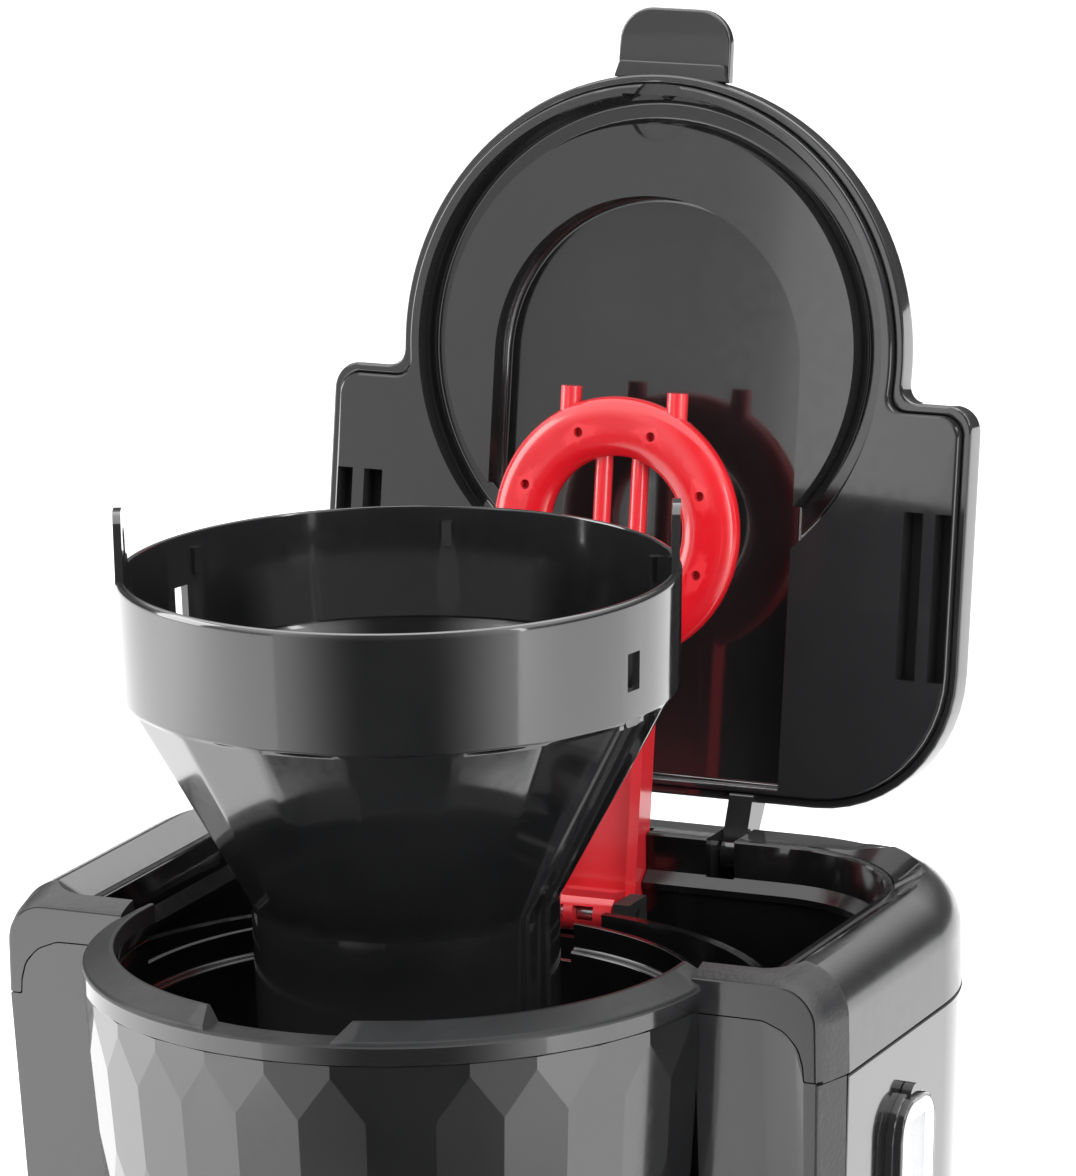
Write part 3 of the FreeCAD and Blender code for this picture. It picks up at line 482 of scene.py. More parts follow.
FROST = moulded("gauge_frost", (0.4, 0.41, 0.42), (0.48, 0.49, 0.5), 0.2, 0.3,
                Transmission_Weight=0.15)
RUBBER = moulded("rubber", (0.012, 0.012, 0.012), (0.02, 0.02, 0.02), 0.62, 0.78, grain=0.03)
SILICONE = moulded("silicone", (0.55, 0.55, 0.53), (0.66, 0.66, 0.64), 0.42, 0.55, grain=0.01)
STEEL = moulded("steel", (0.5, 0.5, 0.51), (0.62, 0.62, 0.63), 0.2, 0.38, Metallic=1.0)
ALUMINIUM = moulded("aluminium", (0.6, 0.6, 0.61), (0.72, 0.72, 0.73), 0.3, 0.45, grain=0.006, Metallic=1.0)
PLATE = moulded("plate_coating", (0.012, 0.012, 0.012), (0.024, 0.024, 0.025), 0.3, 0.48,
                grain=0.02, grain_size=0.4)
LAMP = moulded("lamp_lens", (0.45, 0.03, 0.01), (0.6, 0.05, 0.02), 0.1, 0.2, Transmission_Weight=0.4)


def glass_finish():
    finish = Finish("carafe_glass", 0.02, IOR=1.47, Transmission_Weight=1.0,
                    Base_Color=(0.94, 0.97, 0.96, 1))
    finish.rough(finish.noise(30, 4), 0.0, 0.035)
    finish.bump(finish.noise(22, 2), 0.02)
    return finish.material


GLASS = glass_finish()

SLOT_FINISH = {"black_gloss": GLOSS, "black_matte": MATTE, "satin_grey": SATIN, "red_gloss": RED,
               "rubber": RUBBER, "silicone": SILICONE, "steel": STEEL, "aluminium": ALUMINIUM,
               "plate_coating": PLATE, "white_plastic": WHITE, "glass": GLASS, "gauge_face": FROST,
               "lamp": LAMP}


# ---- faceted housing

FACET_COUNT = 30
FACET_TURN = 2 * math.pi / FACET_COUNT
FACET_RADIUS = RING_RADIUS - 0.6
FACET_ROW = 29.6
FACET_TOP = RING_SEAM - 8.0
FACET_LEANS = (0.0, 4.5, 8.0, 10.5, 12.5)
HOUSING_WALL = 2.4


def housing_rows():
    """Each facet row's top level, its radius there and its inward lean."""
    rows = [(FACET_TOP, FACET_RADIUS, 0.0)]
    radius, top = FACET_RADIUS, FACET_TOP
    for lean in FACET_LEANS[1:]:
        rows.append((top, radius, math.radians(lean)))
        radius -= FACET_ROW * math.tan(math.radians(lean))
        top -= FACET_ROW
    return rows


def housing_radius(level):
    """The facets' distance from the axis at a level."""
    for top, radius, lean in reversed(housing_rows()):
        if level <= top or lean == 0:
            return radius - max(top - level, 0) * math.tan(lean)


def faceted_solid(low, high):
    """A many-sided prism cut back by staggered rows of leaning planes."""
    corner_radius = FACET_RADIUS / math.cos(FACET_TURN / 2)
    corners = [Vector((corner_radius * math.sin(FACET_TURN * k), -corner_radius * math.cos(FACET_TURN * k)))
               for k in range(FACET_COUNT)]
    bm = slab(corners, low, high, steps=1)
    for row, (top, radius, lean) in enumerate(housing_rows()[1:], start=1):
        stagger = 0.5 if row % 2 == 0 else 0.0
        for index in range(FACET_COUNT):
            angle = FACET_TURN * (index + stagger)
            outward = Vector((math.sin(angle), -math.cos(angle), 0))
            point = outward * radius + Vector((0, 0, top))
            cut_plane(bm, point, outward * math.cos(lean) - Vector((0, 0, 1)) * math.sin(lean))
    bmesh.ops.recalc_face_normals(bm, faces=bm.faces)
    return bm


def cut_plane(bm, point, normal):
    """Cut off what lies beyond a plane and close the cut."""
    every = bm.verts[:] + bm.edges[:] + bm.faces[:]
    bmesh.ops.bisect_plane(bm, geom=every, plane_co=point, plane_no=normal, clear_outer=True, dist=1e-4)
    bmesh.ops.holes_fill(bm, edges=[e for e in bm.edges if e.is_boundary], sides=0)


def make_housing():
    low, high = HOUSING_LOW.z, RING_SEAM - 0.25
    outer = faceted_solid(low, high)
    profile = [Vector((0, low - 1))]
    for level in (low - 1, low + 16, low + 45, low + 75, low + 105, high + 1):
        profile.append(Vector((housing_radius(level) - HOUSING_WALL, level)))
    profile.append(Vector((0, high + 1)))
    rear = block((-FAR, FAR), (FRONT - 0.25, FAR), (low - 5, high + 5))
    sleeve = carve(outer, turn(profile, 96), rear)
    piece("faceted_housing_skin", sleeve, "body", GLOSS, ["faceted_housing"], 0.3,
          segments=2, crease=math.radians(2.5))


# ---- collar, ring and shoulders

CORNER_WIDTH = 3.0
CORNER_DEPTH = 11.0
REAR_RADIUS = 56.0
DECK_ROUND = 12.0
BAND_END = FRONT + CORNER_DEPTH + 0.6
OPENING_HALF = 85.0
OPENING_FRONT = 4.0
OPENING_REAR = REAR - 12.5
SEAM_GAP = 0.3
KNUCKLE_X = 30
ARM_GAP = 11.5


def opening_plan(inset=0.0, front_inset=None):
    half, rear = OPENING_HALF - inset, OPENING_REAR - inset
    front = OPENING_FRONT + (inset if front_inset is None else front_inset)
    corners = [(half, front), (half, rear), (-half, rear), (-half, front)]
    return fillet(corners, [7.0, 38.0 - inset, 38.0 - inset, 7.0], 14)


def crown(level, steps=12):
    """Loops that round the column's top over at its sides and rear."""
    loops = []
    for k in range(steps + 1):
        angle = math.pi / 2 * k / steps
        inset = DECK_ROUND * (1 - math.cos(angle))
        half, rear, wide = HALF - inset, REAR - inset, REAR_RADIUS - inset
        front = FRONT - 6
        plan = fillet([(half, front), (half, rear), (-half, rear), (-half, front)], [0, wide, wide, 0], 24)
        loops.append(raised(plan, level - DECK_ROUND * (1 - math.sin(angle))))
    return loops


def front_taper():
    """The space whose slanted front band runs over the shoulders and down their corners."""
    loops = []
    for y, inset in ((FRONT, 3.7), (FRONT + 0.2, 3.2), (FRONT + 0.8, 2.78), (FRONT + 4.5, 1.55),
                     (BAND_END - 1.2, 0.3), (BAND_END, -0.03), (REAR + 20, -0.03)):
        half, top, corner = HALF - inset, DECK - inset, DECK_ROUND - inset
        outline = fillet([(half, SEAM - 5), (half, top), (-half, top), (-half, SEAM - 5)],
                         [0, corner, corner, 0], 14)
        loops.append([Vector((p.x, y, p.y)) for p in outline])
    return skin(loops)


def inner_zone():
    """Where the deck's dark inner rim lies, inside the crest of the side bands."""
    half, rear = OPENING_HALF + 7.6, OPENING_REAR + 7.6
    plan = fillet([(half, 2.6), (half, rear), (-half, rear), (-half, 2.6)], [6, 45.6, 45.6, 6], 16)
    middle = block((-62, 62), (OPENING_REAR - 9, REAR + 10), (SEAM - 3, DECK + 6))
    return weld(slab(plan, SEAM - 2, DECK + 5, steps=1), middle)


def seam_plan(grow=0.0):
    """The shoulder panel's top outline on the front plane, from the ring to the corner."""
    top = DECK - 11.2 + grow
    side = HALF - 6.2 + grow
    foot = SEAM + 0.6 + grow
    return [(60, foot - 3), (60, top), (80, top), (86.5, top - 0.1), (91.5, top - 2.1),
            (side - 1.3, top - 5.6), (side - 0.2, top - 9.6), (side, foot)]


def rounded_seam(grow=0.0):
    points = seam_plan(grow)
    closed = points + [(140, points[-1][1]), (140, SEAM - 30), (60, SEAM - 30)]
    return fillet(closed, [0, 0, 0, 5, 6, 6, 6, 0.5, 0, 0, 0], 5)


def knuckle_slots():
    """Slots for the lid's knuckles: open through the rear only where the knuckles turn."""
    slots = []
    for x in (KNUCKLE_X, -KNUCKLE_X):
        span = (x - 3.5, x + 3.5)
        slots.append(block(span, (OPENING_REAR - 3, REAR - 1.6), (SEAM + 3, DECK + 3)))
        slots.append(block(span, (OPENING_REAR, REAR + 3), (HINGE.z - 4.6, DECK + 4)))
    return slots


def arm_notch(front, rear, low):
    """A gap as wide as the shower head's arm."""
    return block((-ARM_GAP, ARM_GAP), (front, rear), (low, DECK + 3.5))


def make_collar():
    loops = crown(DECK)
    foot = [Vector((p.x, p.y, SEAM + SEAM_GAP)) for p in loops[0]]
    body = keep_in(skin([foot] + loops), front_taper())
    opening = slab(opening_plan(), SEAM - 2, DECK + 4, steps=1)
    well = drum(RING_RADIUS - 2, SEAM - 2, DECK + 4.5)
    lean = skin([raised(opening_plan(), DECK - 4.2), raised(opening_plan(-8.5, -1.4), DECK + 0.8)])
    steps = []
    for y, drop in ((OPENING_REAR - 16, -0.4), (OPENING_REAR + 0.5, 4.2), (REAR + 10, 4.2)):
        steps.append([Vector((x, y, DECK + rise)) for x, rise in
                      ((-94, 6), (-90, 0.5), (-62, -drop), (62, -drop), (90, 0.5), (94, 6))])
    rebate = skin(steps)
    panels = [upright_prism(rounded_seam(SEAM_GAP), FRONT - 3, FRONT + 2.1, side) for side in (1, -1)]
    notch = arm_notch(95, OPENING_REAR + 2.5, SEAM - 5)
    shell = carve(body, opening, well, lean, rebate, *panels, *knuckle_slots(), notch)

    def front_space(end, margin):
        return block((-FAR, FAR), (FRONT - 9, end), (SEAM - margin, DECK + margin))

    brow = keep_in(shell.copy(), front_space(FRONT + 0.25, 5))
    bands = carve(keep_in(shell.copy(), front_space(BAND_END, 6)), front_space(FRONT + 0.25, 7))
    rear = carve(shell, front_space(BAND_END, 6))
    piece("shoulder_brows", brow, "body", GLOSS, ["top_collar"], 0)
    piece("shoulder_bands", bands, "body", STRIP, ["top_collar"], 0.3)
    piece("deck_rim", keep_in(rear.copy(), inner_zone()), "body", GLOSS, ["top_collar"], 0.3)
    piece("side_bands", carve(rear, inner_zone()), "body", SMOOTH, ["top_collar"], 0.12)

    top = RING_TOP
    profile = fillet([(RING_INNER + 0.1, RING_SEAM + 1.2), (RING_RADIUS - 2.2, RING_SEAM),
                      (RING_RADIUS, RING_SEAM), (RING_RADIUS, top), (RING_INNER + 1.2, top + 3.1),
                      (RING_INNER + 0.1, top + 3.1)], [0.3, 0.2, 0.25, 1.3, 0.7, 0.4], 5)
    ring = turn(profile, 240)
    front = block((-90, 90), (-90, OPENING_FRONT - 0.4), (SEAM - 5, DECK + 5))
    shoulders = [block(x, (FRONT, 20), (SEAM - 6, DECK + 6)) for x in
                 ((RING_RADIUS - 2.05, 90), (-90, -RING_RADIUS + 2.05))]
    notch_plan = [(-17.6, top + 3.6), (-14.9, top - 0.5), (14.9, top - 0.5), (17.6, top + 3.6)]
    notch = upright_prism(notch_plan, -90, -50)
    ring = carve(keep_in(ring, front), notch, *shoulders)
    split = top - 1.15
    band = keep_in(ring.copy(), block((-95, 95), (-95, 20), (SEAM - 8, split)))
    cap = keep_in(ring, block((-95, 95), (-95, 20), (split, DECK + 8)))
    piece("ring_band", band, "body", GLOSS, ["top_collar"], 0.12)
    piece("ring_cap", cap, "body", SATIN, ["top_collar"], 0.2)


def make_shoulders():
    low = BASE_HIGH.z + 0.3
    edge = HALF - CORNER_WIDTH
    for side, label in ((1, "right"), (-1, "left")):
        shift = (SEAM - low) * SIDE_TAPER
        points = []
        for p in rounded_seam():
            if p.y < SEAM - 20:
                points.append((min(p.x, edge - shift - 0.3), low))
            else:
                points.append((min(p.x, edge - 0.3), p.y))
        face = skin([[Vector((x * side, front + max(0, SEAM - z) * SIDE_TAPER, z)) for x, z in points]
                     for front in (FRONT, FRONT + 2)])
        sleeve = drum(FACET_RADIUS - 1.0, HOUSING_LOW.z, DECK, 120)
        bay = drum(76, low - 5, HOUSING_LOW.z + 0.01, 120)
        piece("shoulder_front_" + label, carve(face, sleeve, bay), "body", GLOSS,
              ["shoulder_panel_" + label, "shoulder_faces"], 0.35)

        top = fillet([(edge, FRONT), (HALF, FRONT + CORNER_DEPTH), (HALF - 2, FRONT + CORNER_DEPTH),
                      (edge - 1.6, FRONT + 1.2)], 0.8, 3)
        loops = []
        for level in (low, SEAM):
            run = (SEAM - level) * SIDE_TAPER
            loops.append([Vector(((p.x - run) * side, p.y + run, level)) for p in top])
        piece("grained_strip_" + label, skin(loops), "body", STRIP,
              ["corner_strip_" + label], 0)


def make_column():
    low, high = BASE_HIGH.z + 0.3, SEAM - SEAM_GAP
    front, wall = FRONT + CORNER_DEPTH + 0.2, 2.2
    path = fillet([(HALF, front), (HALF, REAR), (-HALF, REAR), (-HALF, front)],
                  [0, REAR_RADIUS, REAR_RADIUS, 0], 24, closed=False)
    sides = normals(path)
    sides[0], sides[-1] = Vector((1, 0)), Vector((-1, 0))
    loops = []
    for level, depth in ((low, 0), (high, 0), (high, wall), (low, wall)):
        run = (SEAM - level) * SIDE_TAPER
        loops.append(raised([p - n * (depth + run) for p, n in zip(path, sides)], level))
    shell = skin(loops, around=False, caps=False, turned_back=True)
    for index in (0, -1):
        shell.faces.new([shell.verts.new(loop[index]) for loop in loops])
    bmesh.ops.remove_doubles(shell, verts=shell.verts, dist=1e-3)
    bmesh.ops.recalc_face_normals(shell, faces=shell.faces)
    piece("column_skin", shell, "body", GLOSS, ["column_shell"], 0.4)


# ---- filter chamber, tank and lining

def make_chamber():
    low = extent("filter_chamber")[0].z
    wall = 1.4
    r, neck, step, throat = 62.9, 36.6, 245.5, 197.0
    ledge, floor = DECK - 20.8, low + 2
    profile = [(12, low), (neck + wall, low), (neck + wall, throat - 0.8), (r + wall, step - 0.8),
               (r + wall, ledge - 2), (RING_INNER + 1.5, ledge - 2), (RING_INNER + 1.5, RING_TOP - 4.2),
               (RING_INNER + 0.1, RING_TOP - 4.2), (RING_INNER + 0.1, ledge), (r, ledge), (r, step),
               (neck, throat), (neck, floor), (12, floor)]
    radii = [0.5, 2, 4, 4, 1, 0.6, 0.5, 0.5, 0.8, 0.8, 5, 5, 2, 0.5]
    bowl = turn(fillet(profile, radii, 4), 200)
    rear = block((-90, 90), (0, 90), (ledge + 6, DECK))
    gap = arm_notch(r - 3, 75, PIVOT.z - 3.5)
    piece("filter_well", carve(bowl, rear, gap), "body", INNER, ["filter_chamber"], 0.35)


def make_tank():
    low, high = extent("water_tank")
    wall, bay, corner, chase_top = 2.4, 80.0, 34, 262

    def plan(inset):
        half, front, rear = high.x - inset, low.y + inset, high.y - inset
        return fillet([(half, front), (half, rear), (-half, rear), (-half, front)],
                      [0.8, corner - inset, corner - inset, 0.8], 12)

    outer = slab(plan(0), low.z, high.z, 3, 0.6)
    hollow = slab(plan(wall), low.z + wall, high.z + 5, 4, 0)
    bulge = drum(bay, low.z - 1, high.z + 1)
    bulge_wall = drum(bay + wall, low.z - 2, high.z + 6)
    chase = drum(8, low.z - 1, chase_top, 32, RISER_AT)
    chase_hole = drum(6.2, low.z - 2, chase_top + 1, 32, RISER_AT)
    drain = drum(3, low.z - 2, low.z + 6, 24, SUPPLY_AT)
    notches = [arm_notch(98, 111, PIVOT.z - 12), arm_notch(75, PIVOT.y - 3, PIVOT.z - 3.5)]
    tank = carve(outer, bulge, carve(hollow, bulge_wall, chase), chase_hole, drain, *notches)
    piece("water_tank_skin", tank, "body", INNER, ["water_tank"], 0.3)


def make_lining():
    low = extent("opening_liner")[0].z
    wall, foot = 2.0, 5.6
    rows = ((0.1, low), (0.1, DECK - 4.6), (0.6, DECK - 4.1), (wall, DECK - 4.1),
            (wall + 0.4, DECK - 4.5), (wall + 0.6, low + 4), (foot, low + 1.6), (foot, low))
    sleeve = skin([raised(opening_plan(inset), z) for inset, z in rows], caps=False, turned_back=True)
    well = drum(RING_RADIUS + 0.4, low - 2, DECK + 3)
    shell = carve(sleeve, well, arm_notch(95, OPENING_REAR + 2.5, low - 5), *knuckle_slots())
    piece("opening_lining", shell, "body", INNER, ["opening_liner"], 0.3)


# ---- lid

LID_PLACE = Matrix.Translation(HINGE) @ Matrix.Rotation(-LID_OPEN, 4, "X") @ Matrix.Scale(-1, 4, (0, 1, 0))
LID_CENTRE = HINGE.y
LID_RADIUS = 63.8
LID_HALF = 81.5
LID_REAR = 12.0
LID_FRONT = 108.0
LID_ROUND = 7.6
LID_TOP = 12.0
TAB_HALF = 14.2
TAB_FOOT = LID_CENTRE + 62.4
TAB_END = 196


def lid_plan(inset=0.0):
    """The lid from above in (x, distance from the hinge): a disc in front of a squarer rear."""
    disc = LID_RADIUS - inset
    wing, rear, front = LID_HALF - inset, LID_REAR + inset, LID_FRONT - inset
    start = math.degrees(math.asin((front - LID_CENTRE + 5.5) / disc))
    top = arc(disc, start, 180 - start, 72, (0, LID_CENTRE))
    inner = math.sqrt(disc ** 2 - (front - LID_CENTRE) ** 2)
    corner = Vector((inner, front))
    joint_end = Vector((inner + 5.0, front))
    right = bend(joint_end, corner, top[0], 8)
    left = [Vector((-p.x, p.y)) for p in reversed(right)]
    rest = fillet([(-inner - 5.0, front), (-wing, front), (-wing, rear), (wing, rear), (wing, front),
                   (inner + 5.0, front)], [0, 6 - inset * 0.5, 34 - inset, 34 - inset, 6 - inset * 0.5, 0],
                  12, closed=False)
    return right + top + left + rest


def lid_layers(layers):
    return skin([raised(lid_plan(inset), w) for inset, w in layers])


def make_cover():
    layers = [(2.2, 9.4), (2.2, 2.5), (1.8, 2.05), (1.4, 2.0), (0.6, 2.0), (0.2, 2.25), (0.0, 2.8),
              (0.0, LID_ROUND)]
    for k in range(1, 9):
        angle = math.pi / 2 * k / 8
        layers.append((5.0 * (1 - math.cos(angle)), LID_ROUND + (LID_TOP - LID_ROUND) * math.sin(angle)))
    layers.append((9.0, LID_TOP))
    cover = lid_layers(layers)
    tab_plan = fillet([(-TAB_HALF, TAB_FOOT), (TAB_HALF, TAB_FOOT), (TAB_HALF, TAB_END),
                       (-TAB_HALF, TAB_END)], [0, 0, 10, 10], 10)
    tab = slab(tab_plan, 7.2, 10.2, 0.7, 0.9, 3)
    rib_plan = fillet([(-TAB_HALF, TAB_FOOT + 0.2), (TAB_HALF, TAB_FOOT + 0.2), (13.4, 183.4),
                       (-13.4, 183.4)], [0, 0, 1, 1], 3)
    rib = slab(rib_plan, 5.4, LID_ROUND, 0.5, 0.2, 2)
    knuckles = []
    arm = fillet([(0, -4), (14.2, 0), (14.2, 9), (3.5, 4)], [3.5, 1, 1, 2], 4)
    for side in (1, -1):
        left, right = side * KNUCKLE_X - 3, side * KNUCKLE_X + 3
        knuckles.append(weld(side_prism(arm, left, right), rod(4.0, (left, 0, 0), (right, 0, 0), 40)))
    bore = rod(2.06, (-40, 0, 0), (40, 0, 0), 40)
    cover = carve(weld(cover, tab, rib, *knuckles), bore)
    piece("lid_shell", cover, "lid", GLOSS, ["lid_cover"], 0.3, LID_PLACE)


def make_liner():
    depth = -3
    plate = lid_layers([(3.2, 0.0), (2.6, 0.2), (2.35, 0.8), (2.3, 1.6), (2.3, 9.0)])
    groove_profile = [(52.0, depth), (59.5, depth), (58.6, 3.4), (57.4, 6.5), (53.4, 6.5), (52.4, 5.4)]
    groove = moved(turn(fillet(groove_profile, [0, 0, 1.5, 1.2, 1.2, 1.2], 3), 200),
                   Matrix.Translation((0, LID_CENTRE, 0)))
    arch_centre, arch_half = 113.0, 39.0
    arch = arc(arch_half, 0, 180, 48, (0, arch_centre))
    arch += [Vector((-arch_half, 15.5)), Vector((arch_half, 15.5))]
    recess = slab(arch, depth, 7.4, 0, 1.6, 3)
    tools = [groove, recess]
    for span in ((-9.6, -1.2), (0.8, 8.6)):
        tools.append(block(span, (168.9, 175.6), (depth, 5.4)))
    tools.append(drum(7.5, depth, 1.3, 40, (0, 172.0)))
    for outer, inner in ((78.6, 74.6), (71.6, 66.8)):
        for span in ((-outer, -inner), (inner, outer)):
            tools.append(block(span, (44, 83), (depth, 6.4)))
    liner = carve(plate, *tools)
    piece("lid_lining", liner, "lid", GLOSS, ["lid_liner"], 0.7, LID_PLACE)


# ---- shower head

HEAD_PLACE = Matrix.Translation(PIVOT) @ Matrix.Rotation(-LID_OPEN, 4, "X")
HEAD_REACH = 88.5
HEAD_RISE = 12.5
HEAD_RADIUS = 24.0
HEAD_HALF = 11.0


def make_head():
    section = []
    for k in range(28):
        angle = 2 * math.pi * k / 28
        c, s = math.cos(angle), math.sin(angle)
        section.append(Vector((HEAD_RADIUS + 7.0 * math.copysign(abs(c) ** 0.85, c),
                               HEAD_RISE + 3.9 * math.copysign(abs(s) ** 0.8, s))))
    ring = moved(turn(section, 144), Matrix.Translation((0, -HEAD_REACH, 0)))
    half, high = HEAD_HALF, HEAD_RISE + 2.4
    web = fillet([(-half, -HEAD_REACH + 19.5), (half, -HEAD_REACH + 19.5), (half, 2), (-half, 2)],
                 [1, 1, 3, 3], 4)
    parts = [slab(web, HEAD_RISE - 0.4, high, 0.4, 0.4, 2),
             block((-half, half), (-3.4, 2.2), (-2.6, high)),
             block((-half, half), (-5.4, -3.0), (-2.6, 3.4)),
             rod(4.6, (-half, 0, 0), (half, 0, 0), 40),
             rod(2.6, (-21, -HEAD_REACH + 17, HEAD_RISE), (21, -HEAD_REACH + 17, HEAD_RISE), 24)]
    for side in (1, -1):
        rail = sorted((side * half, side * (half - 2.6)))
        parts.append(block(rail, (-HEAD_REACH + 21, 1), (HEAD_RISE - 3.4, HEAD_RISE + 3.4)))
        for radius, x, start, end, rise, sides in ((2.1, 4.6, -20, 22, 1.6, 20),
                                                   (2.5, 13.5, -22, -32.6, 0.6, 24)):
            parts.append(rod(radius, (side * x, start - HEAD_REACH, HEAD_RISE + rise),
                             (side * x, end - HEAD_REACH, HEAD_RISE + rise), sides))
    holes = [rod(2.08, (-14, 0, 0), (14, 0, 0), 32)]
    for k in range(8):
        angle = math.radians(45 * k + 22)
        x, y = HEAD_RADIUS * math.sin(angle), -HEAD_RADIUS * math.cos(angle) - HEAD_REACH
        holes.append(rod(1.15, (x, y, HEAD_RISE - 6), (x, y, HEAD_RISE - 1.4), 20))
    for x in (-6.4, 1.2):
        holes.append(block((x, x + 5.2), (-1.8, 1.6), (-9, 0.4)))
    head = carve(weld(ring, *parts), *holes)
    piece("spray_head", head, "head", RED, ["shower_head"], 0.35, HEAD_PLACE)


# ---- filter basket

RIM_HEIGHT = 14.0
BASKET_RIM = BASKET_HIGH.z - RIM_HEIGHT
BASKET_FLOOR = BASKET_LOW.z
BASKET_RADIUS = 62.2
BASKET_WALL = 1.8
NECK_RADIUS = 34.2
BAND = BASKET_RIM - 27.0
THROAT = BASKET_FLOOR + 30.5
GUIDE_TURN = 80
EAR_TURN = 24
CONE_SIDES = 18
CONE_OFFSET = math.radians(15.4)


def around(degrees):
    """A turn about the axis, measured from the front towards the right."""
    return Matrix.Rotation(math.radians(degrees), 4, "Z")


def cone_loop(radius, level, flat):
    """A round loop pressed towards a polygon by the share named flat."""
    loop = []
    for k in range(CONE_SIDES * 10):
        angle = 2 * math.pi * k / (CONE_SIDES * 10)
        part = (angle - CONE_OFFSET) % (2 * math.pi / CONE_SIDES) - math.pi / CONE_SIDES
        facet = math.cos(math.pi / CONE_SIDES) / math.cos(part)
        size = radius * (1 - flat + flat * facet)
        loop.append(Vector((size * math.sin(angle), -size * math.cos(angle), level)))
    return loop


def basket_body():
    rim, low, band, throat = BASKET_RIM, BASKET_FLOOR, BAND, THROAT
    r, neck, wall = BASKET_RADIUS, NECK_RADIUS, BASKET_WALL
    outer = [(r - 1.1, rim, 0), (r - 0.5, rim - 0.2, 0), (r - 0.1, rim - 0.7, 0), (r, rim - 1.4, 0),
             (r - 0.8, band + 0.9, 0), (r - 1.0, band + 0.1, 0.25), (r - 1.6, band - 1.0, 1),
             (neck + 1.2, throat + 1.6, 1), (neck + 0.3, throat + 0.2, 0.6), (neck, throat - 1.4, 0),
             (neck - 0.5, low + 1.2, 0), (neck - 1.0, low + 0.3, 0), (neck - 2.0, low, 0), (3.4, low, 0)]
    inner = [(3.4, low + 2, 0), (neck - wall - 3, low + 2, 0), (neck - wall - 0.6, low + 4, 0),
             (neck - wall, throat, 0), (r - wall - 1.6, band + 0.2, 0), (r - wall - 0.8, band + 2, 0),
             (r - wall, rim - 0.5, 0), (r - wall + 0.2, rim - 0.1, 0)]
    return skin([cone_loop(*row) for row in outer + inner], caps=False, turned_back=True)


def basket_guides():
    """Two rails and a clasp on each side, which run in the chamber."""
    low, proud = BASKET_FLOOR + 1, 0.7
    rail = [(-34.6 - proud, low), (-34.6 - proud, THROAT + 1), (-60.2 - proud, BAND - 1.5),
            (-60.2 - proud, BAND + 2.0), (-57 - proud, BAND), (-33, THROAT), (-33, low)]
    clasp = fillet([(-2.6, BAND - 1), (2.6, BAND - 1), (2.6, BAND + 7), (-2.6, BAND + 7)], 1.0, 3)
    guides = []
    for side in (0, 180):
        parts = [side_prism(rail, x, x + 1.6) for x in (-4.6, 3.0)] + [upright_prism(clasp, -61.2, -58.6)]
        guides += [moved(part, around(GUIDE_TURN + side)) for part in parts]
    return guides


def basket_ribs():
    """Short pegs under the rim and long ribs that keep the paper off the throat."""
    inside, neck, low = BASKET_RADIUS - BASKET_WALL, NECK_RADIUS - BASKET_WALL, BASKET_FLOOR + 3
    ribs = []
    for k in range(6):
        peg = block((-1.1, 1.1), (-inside - 0.2, -inside + 1.3), (BASKET_RIM - 9, BASKET_RIM - 3.4))
        ribs.append(moved(peg, around(60 * k + 15)))
    outline = [(-neck - 0.4, low), (-neck - 0.4, THROAT), (-NECK_RADIUS - 8, THROAT + 15.5),
               (-NECK_RADIUS - 6, THROAT + 15.5), (-neck + 2.2, THROAT + 1), (-neck + 2.2, low)]
    for k in range(12):
        ribs.append(moved(side_prism(outline, -0.6, 0.6), around(30 * k + 8)))
    return ribs


def basket_ears():
    profile = fillet([(-9.4, -4), (9.4, -4), (7.4, 6), (5.2, RIM_HEIGHT), (-5.2, RIM_HEIGHT), (-7.4, 6)],
                     [0, 0, 8, 4.6, 4.6, 8], 6)
    window = fillet([(-2.6, 1.5), (2.6, 1.5), (2.6, RIM_HEIGHT - 4), (-2.6, RIM_HEIGHT - 4)], 2.4, 5)
    ears = []
    for side in (1, -1):
        bow = side / (2 * BASKET_RADIUS)
        ear = skin([[Vector((x - p.x ** 2 * bow, p.x, p.y)) for p in profile] for x in (-0.9, 0.9)])
        place = around(EAR_TURN) @ Matrix.Translation((side * (BASKET_RADIUS - 1.0), 0, BASKET_RIM))
        ears.append(moved(carve(ear, side_prism(window, -5, 5)), place))
    return ears


def drip_cage():
    low = BASKET_FLOOR
    cage = turn([(5.5, low + 1.5), (7.0, low + 1.5), (7.0, low + 20), (0.01, low + 20), (0.01, low + 18),
                 (5.5, low + 18)], 48)
    gaps = [moved(block((-9, 9), (-2.6, 2.6), (low + 3, low + 14)), around(turned)) for turned in (0, 90)]
    return carve(cage, *gaps)


def make_basket():
    slots = []
    for side in (0, 180):
        slot = block((-2.3, 2.3), (-65, -55), (BASKET_RIM - 20, BASKET_RIM - 11.5))
        slots.append(moved(slot, around(GUIDE_TURN + side)))
    extras = basket_guides() + basket_ribs() + basket_ears() + [drip_cage()]
    basket = carve(weld(basket_body(), *extras), *slots)
    piece("basket_shell", basket, "basket", GLOSS, ["filter_basket"], 0.25)


# ---- carafe

CARAFE_NECK = 50.0


